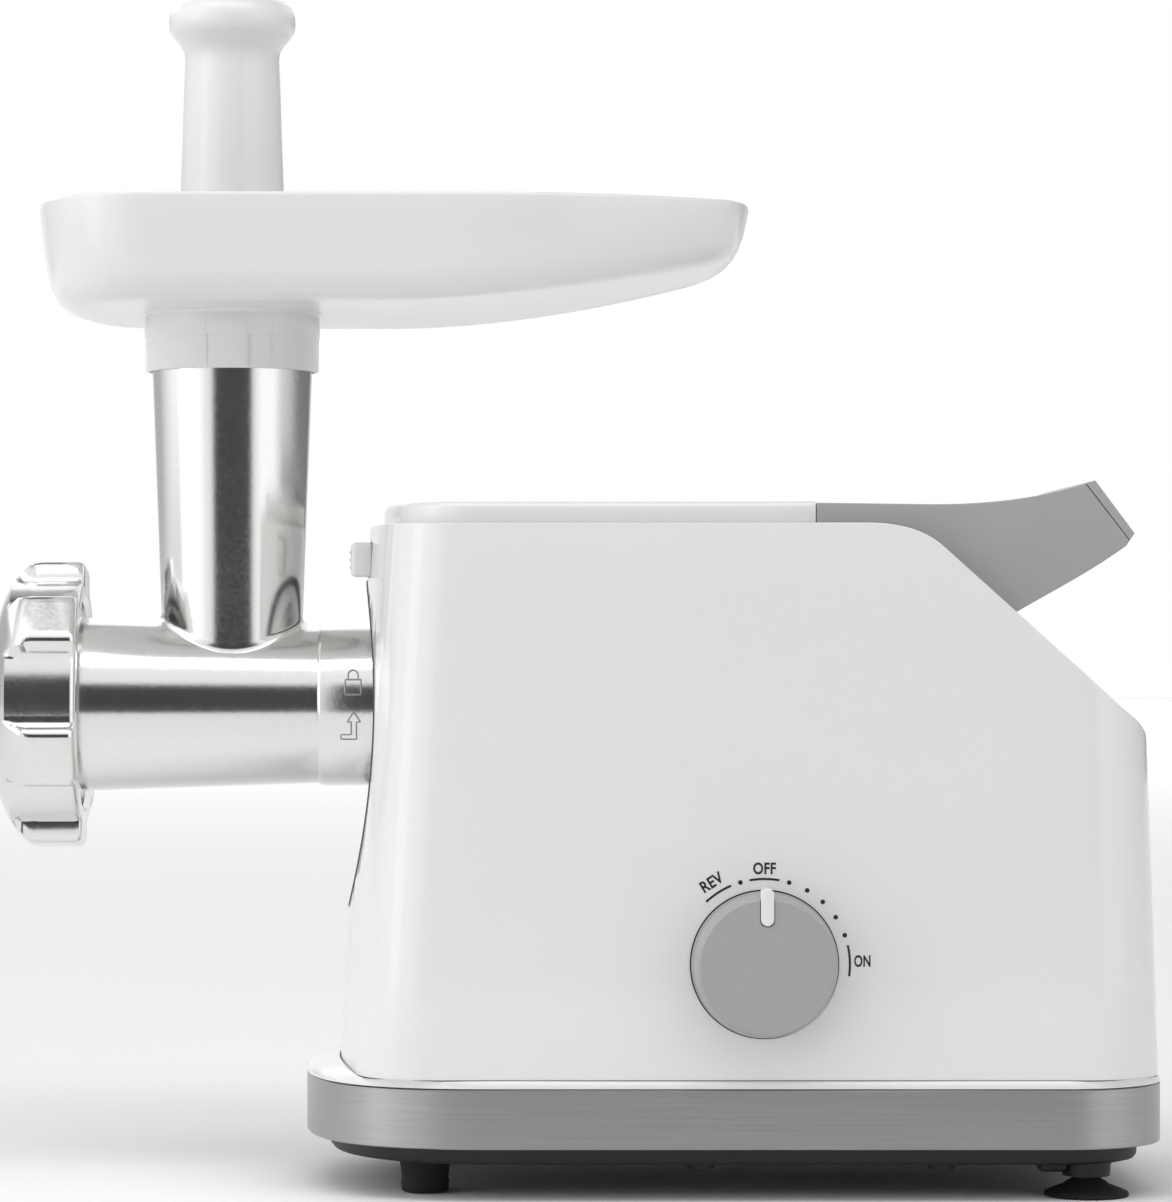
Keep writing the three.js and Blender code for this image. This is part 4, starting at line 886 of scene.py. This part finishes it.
def make_pointer():
    low, high = reach("dial_pointer")
    x, z = (low[0] + high[0]) / 2, middle("dial")[2]
    radius, up, down = 2.2, z + 24, z + 15.9
    outline = arc(x, up, radius, 0, 180, 16) + [(x - radius, up)]
    outline += arc(x, down, radius, 180, 360, 16) + [(x + radius, down)]
    pointer = loft("pointer_insert", [[(a, y, b) for a, b in outline] for y in (low[1], low[1] + 9)])
    return smooth(finish_edges(pointer, 0.5, 3, 50), 40)


def ink_word(word, x, z, size, width, turn=0.0):
    """A printed word on the dial panel, as thin raised ink."""
    deselect()
    bpy.ops.object.text_add(rotation=(math.radians(90), 0, 0))
    text = bpy.context.object
    text.data.body = word
    text.data.size = size * mm
    text.data.align_x, text.data.align_y = "CENTER", "CENTER"
    text.data.extrude = 0.03 * mm
    text.data.space_character = 1.05
    text.data.offset = 0.13 * mm
    bpy.ops.object.convert(target="MESH")
    sealed(text, 0.002)
    text.rotation_euler = (math.radians(90), math.radians(-turn), 0)
    text.scale = (width, 1, 1)
    text.location = (x * mm, (housing_low[1] - 0.05) * mm, z * mm)
    return settle(text)


def ink_arc(x, z, radius, start, end, width=0.75):
    """A printed arc about the dial; angles run clockwise from straight up."""
    points = []
    steps = 12
    for r, order in ((radius - width / 2, range(steps + 1)), (radius + width / 2, range(steps, -1, -1))):
        for i in order:
            turn = math.radians(start + (end - start) * i / steps)
            points.append((x + r * math.sin(turn), z + r * math.cos(turn)))
    y = housing_low[1]
    return loft("arc", [[(a, y - lift, b) for a, b in points] for lift in (-0.05, 0.08)])


def make_scale():
    """Scale round the dial: reverse, off, a row of speed dots, and on; and a near-black ring painted as the
    shadow in the gap under the dial's base.
    """
    x, z = middle("dial")[0], middle("dial")[2]
    radius = 28.5
    y = housing_low[1]
    marks = [ink_arc(x, z, radius, start, end) for start, end in ((-43, -23), (-10, 10), (77, 98))]
    for turn in (-16.4, 16.8, 30, 43, 56.5, 70):
        a = math.radians(turn)
        centre = (x + radius * math.sin(a), z + radius * math.cos(a))
        marks.append(bar(0.78, y - 0.08, y + 0.05, "Y", centre, 20))
    marks.append(ink_word("OFF", x, z + radius + 3.3, 5.3, 0.8))
    marks.append(ink_word("ON", x + radius + 4.2, z + 0.9, 5.3, 0.66))
    side, out = math.radians(-33), radius + 3.9
    marks.append(ink_word("REV", x + out * math.sin(side), z + out * math.cos(side), 5.3, 0.86, 32))
    # Painted shadow: a near-black ring on the wall just outside the dial's base stands in for the shade in
    # the gap between dial and housing.
    seat = [(23.6, y + 0.05), (24.95, y + 0.05), (24.95, y - 0.12), (23.6, y - 0.12)]
    marks.append(turned("painted_gap_shadow", seat, "Y", (x, z), 96, closed=True))
    return merge("dial_scale_and_gap_shadow", *marks)


# ------------------------------------------------------------------ inlet and screws
def make_inlet():
    low, high = reach("lead_inlet")
    cy, cz = (low[1] + high[1]) / 2, (low[2] + high[2]) / 2
    rear = housing_high[0] - 1.4
    frame_part = rounded_block(rear - 9, rear - 6.6, low[1], high[1], low[2], high[2], 1, 3)
    nose = rounded_block(low[0], high[0], low[1] + 4, high[1] - 4, low[2] + 4, high[2] - 4, 2.2, 4)
    carve(nose, rounded_block(rear - 6, rear + 6, cy - 8, cy + 8, cz - 4, cz + 4, 2, 4))
    pins = [bar(1.2, rear - 7, rear - 1.5, "X", (cy + side * 4, cz), 20) for side in (-1, 1)]
    return smooth(merge("inlet_socket", nose, frame_part, *pins))


# ------------------------------------------------------------------ shading
class Value:
    """A number that varies over a surface; Python arithmetic on it adds Math nodes."""

    def __init__(self, finish, socket):
        self.finish, self.socket = finish, socket

    def _with(self, operation, *inputs):
        return self.finish.node("ShaderNodeMath", {"operation": operation}, dict(enumerate(inputs)))

    def __add__(self, other):
        return self._with("ADD", self, other)

    def __radd__(self, other):
        return self._with("ADD", other, self)

    def __sub__(self, other):
        return self._with("SUBTRACT", self, other)

    def __rsub__(self, other):
        return self._with("SUBTRACT", other, self)

    def __mul__(self, other):
        return self._with("MULTIPLY", self, other)

    def __rmul__(self, other):
        return self._with("MULTIPLY", other, self)

    def __truediv__(self, other):
        return self._with("DIVIDE", self, other)

    def __pow__(self, other):
        return self._with("POWER", self, other)


class Finish:
    """A material with one principled shader, whose nodes are added by one method."""

    def __init__(self, name, **constants):
        self.material = bpy.data.materials.new(name)
        self.material.use_nodes = True
        self.tree = self.material.node_tree
        self.shader = next(n for n in self.tree.nodes if n.type == "BSDF_PRINCIPLED")
        self.place = self.node("ShaderNodeTexCoord", output="Object")
        for key, value in constants.items():
            self.shader.inputs[key.replace("_", " ")].default_value = value

    def node(self, kind, settings=None, sockets=None, output=0):
        made = self.tree.nodes.new(kind)
        for key, value in (settings or {}).items():
            setattr(made, key, value)
        for key, value in (sockets or {}).items():
            self.feed(made.inputs[key], value)
        return Value(self, made.outputs[output])

    def feed(self, socket, value):
        if isinstance(value, Value):
            self.tree.links.new(value.socket, socket)
        else:
            socket.default_value = value

    def set(self, name, value):
        self.feed(self.shader.inputs[name], value)

    def stretched(self, x, y, z):
        return self.node("ShaderNodeVectorMath", {"operation": "MULTIPLY"}, {0: self.place, 1: (x, y, z)})

    def noise(self, scale, detail=3.0, roughness=0.5, vector=None):
        return self.node("ShaderNodeTexNoise", {}, {"Vector": vector or self.place, "Scale": scale,
                                                    "Detail": detail, "Roughness": roughness})

    def blend(self, amount, first, second):
        """Mixes two colours by a value from 0 to 1."""
        made = self.tree.nodes.new("ShaderNodeMix")
        made.data_type = "RGBA"
        for index, value in ((0, amount), (6, first), (7, second)):
            self.feed(made.inputs[index], value)
        return Value(self, made.outputs[2])

    def bump(self, height, strength, distance=0.001):
        self.set("Normal", self.node("ShaderNodeBump", {}, {"Height": height, "Strength": strength,
                                                            "Distance": distance}))


def rgb(red, green, blue):
    return (red, green, blue, 1)


def moulded(name, light, dark, gloss, texture, bump, coat=0.0):
    """Moulded plastic: faint tone changes, a fine skin texture, and slightly uneven gloss."""
    finish = Finish(name, Coat_Weight=coat, Coat_Roughness=0.06, IOR=1.47)
    cloud = finish.noise(9, 2)
    grain = finish.noise(texture, 2, 0.6)
    finish.set("Base Color", finish.blend(cloud, rgb(*light), rgb(*dark)))
    finish.set("Roughness", gloss + (cloud - 0.5) * 0.05 + (grain - 0.5) * 0.06)
    finish.bump(grain, bump, 0.0004)
    return finish.material


def metal(name, light, dark, gloss, texture, bump, stretch=None, smudge=0.05):
    """Worked metal: tone and gloss follow a fine grain, drawn out where it was brushed or turned."""
    finish = Finish(name, Metallic=1.0)
    vector = finish.stretched(*stretch) if stretch else None
    grain = finish.noise(texture, 4, 0.65, vector)
    handling = finish.noise(22, 3)
    finish.set("Base Color", finish.blend(grain, rgb(*dark), rgb(*light)))
    finish.set("Roughness", gloss + (grain - 0.5) * 0.16 + (handling - 0.5) * smudge)
    finish.bump(grain, bump, 0.0003)
    return finish.material


def rubber(name, tone):
    finish = Finish(name, Specular_IOR_Level=0.35)
    dust = finish.noise(60, 4, 0.7)
    grain = finish.noise(2600, 2)
    pale = rgb(tone * 1.9, tone * 1.9, tone * 1.85)
    finish.set("Base Color", finish.blend(dust, rgb(tone, tone, tone), pale))
    finish.set("Roughness", 0.62 + dust * 0.2)
    finish.bump(grain, 0.3, 0.0002)
    return finish.material


def turned_face(name, light, dark, gloss):
    """Metal faced on a lathe or ground: fine rings about the barrel axis."""
    finish = Finish(name, Metallic=1.0)
    apart = finish.node("ShaderNodeSeparateXYZ", {}, {"Vector": finish.place})
    y = Value(finish, apart.socket.node.outputs["Y"]) - mid_y * mm
    z = Value(finish, apart.socket.node.outputs["Z"]) - axis_z * mm
    radius = (y * y + z * z) ** 0.5
    rings = finish.node("ShaderNodeMath", {"operation": "SINE"}, {0: radius * 9000})
    cloud = finish.noise(40, 3)
    finish.set("Base Color", finish.blend(cloud, rgb(*dark), rgb(*light)))
    finish.set("Roughness", gloss + rings * 0.05 + (cloud - 0.5) * 0.1)
    finish.bump(rings * 0.5 + cloud * 0.3, 0.12, 0.0002)
    return finish.material


def printed_board(name):
    finish = Finish(name)
    tracks = finish.node("ShaderNodeTexVoronoi", {"feature": "DISTANCE_TO_EDGE"},
                         {"Vector": finish.place, "Scale": 260})
    line_mask = finish.node("ShaderNodeMath", {"operation": "LESS_THAN"}, {0: tracks, 1: 0.06})
    finish.set("Base Color", finish.blend(line_mask, rgb(0.03, 0.12, 0.05), rgb(0.10, 0.27, 0.12)))
    finish.set("Roughness", 0.45 + finish.noise(120) * 0.2)
    finish.bump(line_mask, 0.3, 0.0002)
    return finish.material


# Each finish: how it is made, light tone, dark tone, gloss, grain, bump, and what else it takes.
recipes = {
    "white_plastic": (moulded, (0.80, 0.80, 0.79), (0.775, 0.775, 0.765), 0.2, 1400, 0.03, 0.35),
    "tray_plastic": (moulded, (0.80, 0.798, 0.79), (0.775, 0.773, 0.765), 0.24, 1700, 0.03, 0.2),
    "grey_plastic": (moulded, (0.385, 0.38, 0.373), (0.355, 0.35, 0.344), 0.3, 2400, 0.12, 0.0),
    "black_plastic": (moulded, (0.007, 0.0065, 0.006), (0.011, 0.0105, 0.0095), 0.5, 1900, 0.2),
    "nylon": (moulded, (0.62, 0.58, 0.48), (0.55, 0.50, 0.40), 0.45, 900, 0.1),
    "carbon": (moulded, (0.03, 0.03, 0.03), (0.05, 0.05, 0.05), 0.6, 3000, 0.3),
    "steel_band": (metal, (0.47, 0.47, 0.465), (0.31, 0.31, 0.305), 0.32, 60, 0.12, (0.35, 0.35, 40)),
    "polished_casting": (metal, (0.84, 0.835, 0.825), (0.74, 0.735, 0.73), 0.16, 900, 0.05, None, 0.06),
    "socket_casting": (metal, (0.62, 0.62, 0.61), (0.45, 0.45, 0.44), 0.4, 900, 0.3),
    "auger_casting": (metal, (0.70, 0.70, 0.69), (0.52, 0.52, 0.51), 0.35, 600, 0.25),
    "cutting_steel": (turned_face, (0.62, 0.62, 0.63), (0.48, 0.48, 0.49), 0.28),
    "machined_steel": (metal, (0.55, 0.55, 0.56), (0.38, 0.38, 0.39), 0.3, 500, 0.12, (6, 1, 1)),
    "spring_steel": (metal, (0.66, 0.66, 0.66), (0.5, 0.5, 0.5), 0.22, 1500, 0.1),
    "stator_steel": (metal, (0.34, 0.35, 0.37), (0.2, 0.205, 0.22), 0.45, 60, 0.3, (40, 1, 1)),
    "bronze": (metal, (0.50, 0.35, 0.15), (0.36, 0.24, 0.09), 0.45, 1500, 0.2),
    "copper": (metal, (0.68, 0.34, 0.16), (0.5, 0.22, 0.09), 0.3, 300, 0.15, (12, 1, 1)),
    "screw_steel": (metal, (0.46, 0.46, 0.46), (0.3, 0.3, 0.3), 0.3, 900, 0.1),
    "foot_rubber": (rubber, 0.006),
    "gasket_rubber": (rubber, 0.05),
    "board": (printed_board,),
}
finishes = {name: make(name, *values) for name, (make, *values) in recipes.items()}
mark_finish = metal("mark_outline", (0.40, 0.40, 0.39), (0.28, 0.28, 0.27), 0.4, 1200, 0.1)
# Near-black ink for the printed scale, and also for the ring painted as the shadow in the gap under the dial.
ink_and_shadow_finish = moulded("scale_ink_and_painted_shadow", (0.012, 0.012, 0.012), (0.02, 0.02, 0.02), 0.5, 2200, 0.1)

# ------------------------------------------------------------------ pieces
made = [
    (make_housing(), "housing", "white_plastic", ["main_housing"]),
    (make_cover(), "housing", "white_plastic", ["top_cover"]),
    (make_handle(), "housing", "grey_plastic", ["carry_handle"]),
    (make_ledge(), "housing", "white_plastic", ["base_ledge"]),
    (make_band(), "housing", "steel_band", ["base_band"]),
    (make_pan(), "housing", "black_plastic", ["bottom_pan"]),
    (make_gasket(), "housing", "gasket_rubber", ["recess_gasket"]),
    (make_inlet(), "housing", "black_plastic", ["lead_inlet"]),
    (make_head(), "head", "polished_casting", ["grinder_head"]),
    (make_nut(), "nut", "polished_casting", ["ring_nut"]),
    (make_plate(), "plate", "cutting_steel", ["cutting_plate"]),
    (make_tray(), "tray", "tray_plastic", ["food_tray"]),
    (make_pusher(), "pusher", "tray_plastic", ["food_pusher"]),
    (make_dial(), "dial_set", "grey_plastic", ["dial"]),
    (make_pointer(), "dial_set", "white_plastic", ["dial_pointer"]),
    (make_button(), "button", "white_plastic", ["release_button"]),
    (make_scale(), "housing", "black_plastic", []),
    (make_trim(), "housing", "gasket_rubber", []),
    (make_marks(), "head", "polished_casting", []),
]
for side in ("dial_side", "plain_side"):
    made.append((make_front_foot(side), "housing", "foot_rubber", ["front_foot_" + side]))
    made.append((make_suction_foot(side), "housing", "foot_rubber", ["suction_foot_" + side]))

own_finish = {"dial_scale_and_gap_shadow": ink_and_shadow_finish, "lock_marks": mark_finish}
for piece, body, slot, nodes in made:
    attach(piece, body)
    if nodes:
        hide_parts(*nodes)
    piece.data.materials.clear()
    piece.data.materials.append(own_finish.get(piece.name, finishes[slot]))

replaced = {node for _, _, _, nodes in made for node in nodes}
for part in frame["record"]["subparts"]:
    if part["node"] not in replaced:
        node = frame["nodes"][part["node"]]
        for place in node.material_slots:
            place.material = finishes[part["material_slot"]]

# The latch pushes its spring together against the gear case, all but flat; here only the spring's rear end is
# found and the spring gets a mesh of its own, its shape left as it is.
_, spring_y, spring_z = middle("latch_spring")
spring_rear = [value * mm for value in (reach("latch_spring")[1][0], spring_y, spring_z)]
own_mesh(frame["nodes"]["latch_spring"])

# ------------------------------------------------------------------ stage, light and camera
deselect()
bpy.ops.mesh.primitive_plane_add(size=14, location=(0, 6.15, -0.0004))
floor = bpy.context.object
floor.name = "floor"
paper = Finish("floor_paper", Roughness=0.8, Specular_IOR_Level=0.2)
paper.set("Base Color", paper.blend(paper.noise(3), rgb(0.92, 0.92, 0.92), rgb(0.9, 0.9, 0.9)))
floor.data.materials.append(paper.material)


def studio_world():
    """Bright surroundings with a dark field behind the camera, which polished metal mirrors."""
    world = bpy.data.worlds.new("studio")
    bpy.context.scene.world = world
    world.use_nodes = True
    tree = world.node_tree
    background = next(n for n in tree.nodes if n.type == "BACKGROUND")
    where = tree.nodes.new("ShaderNodeTexCoord")
    apart = tree.nodes.new("ShaderNodeSeparateXYZ")
    tree.links.new(where.outputs["Generated"], apart.inputs[0])

    def node(kind, inputs, **settings):
        made_node = tree.nodes.new(kind)
        for key, value in settings.items():
            setattr(made_node, key, value)
        for index, value in inputs.items():
            if isinstance(value, bpy.types.NodeSocket):
                tree.links.new(value, made_node.inputs[index])
            else:
                made_node.inputs[index].default_value = value
        return made_node.outputs[0]

    def soft_edge(value, low, high):
        return node("ShaderNodeMapRange", {0: value, 1: low, 2: high, 3: 0.0, 4: 1.0},
                    interpolation_type="SMOOTHSTEP")

    def times(first, second):
        return node("ShaderNodeMath", {0: first, 1: second}, operation="MULTIPLY")

    x, y, z = (apart.outputs[axis] for axis in "XYZ")
    azimuth = node("ShaderNodeMath", {0: x, 1: times(y, -1.0)}, operation="ARCTAN2")
    # Each field: how much light it takes away or adds, and where it fades in and out.
    dark = times(times(soft_edge(azimuth, -0.52, -0.36), soft_edge(azimuth, 0.62, 0.46)),
                 times(soft_edge(z, -0.32, -0.2), soft_edge(z, 0.52, 0.40)))
    overhead = soft_edge(z, 0.82, 0.95)
    rear = times(soft_edge(y, -0.1, 0.5), soft_edge(y, 0.97, 0.9))
    strip = times(soft_edge(azimuth, 0.62, 0.8), soft_edge(azimuth, 1.35, 1.1))
    right = soft_edge(azimuth, 1.1, 1.6)
    left = times(soft_edge(azimuth, -0.6, -0.8), soft_edge(azimuth, -2.3, -1.9))
    level = 1.0
    for field, change in ((overhead, -0.5), (rear, -0.5), (strip, 0.25), (right, -0.3), (left, 0.3)):
        level = node("ShaderNodeMath", {0: times(field, change), 1: level}, operation="ADD")
    level = times(level, node("ShaderNodeMath", {0: 1.0, 1: times(dark, 0.94)}, operation="SUBTRACT"))
    # What the camera sees straight on is plain white paper.
    seen = tree.nodes.new("ShaderNodeLightPath").outputs["Is Camera Ray"]
    unseen = node("ShaderNodeMath", {0: 1.0, 1: seen}, operation="SUBTRACT")
    level = node("ShaderNodeMath", {0: times(level, unseen), 1: seen}, operation="ADD")
    tree.links.new(level, background.inputs["Strength"])
    background.inputs["Color"].default_value = (1, 1, 1, 1)


def softbox(name, place, aim, size, power):
    deselect()
    bpy.ops.object.light_add(type="AREA", location=place)
    lamp = bpy.context.object
    lamp.name = name
    lamp.data.shape = "RECTANGLE"
    lamp.data.size, lamp.data.size_y = size
    lamp.data.energy = power
    lamp.rotation_euler = (Vector(aim) - Vector(place)).to_track_quat("-Z", "Y").to_euler()


studio_world()
softbox("top_light", (-0.1, -0.9, 1.9), (0, 0, 0.15), (2.2, 0.6), 11)
softbox("floor_light", (0, 8.5, 4), (0, 8.5, 0), (18, 10), 450)
softbox("left_light", (-1.7, -0.7, 0.7), (0, 0, 0.2), (0.7, 1.5), 4)

deselect()
bpy.ops.object.camera_add(location=(-0.035, -1.575, 0.1876), rotation=(math.radians(90), 0, 0))
camera = bpy.context.object
camera.name = "camera"
camera.data.lens = 134.8
camera.data.sensor_width = 36
camera.data.shift_x = 0.0965
camera.data.shift_y = 0.0324
bpy.context.scene.camera = camera
bpy.context.scene.view_settings.view_transform = "Standard"
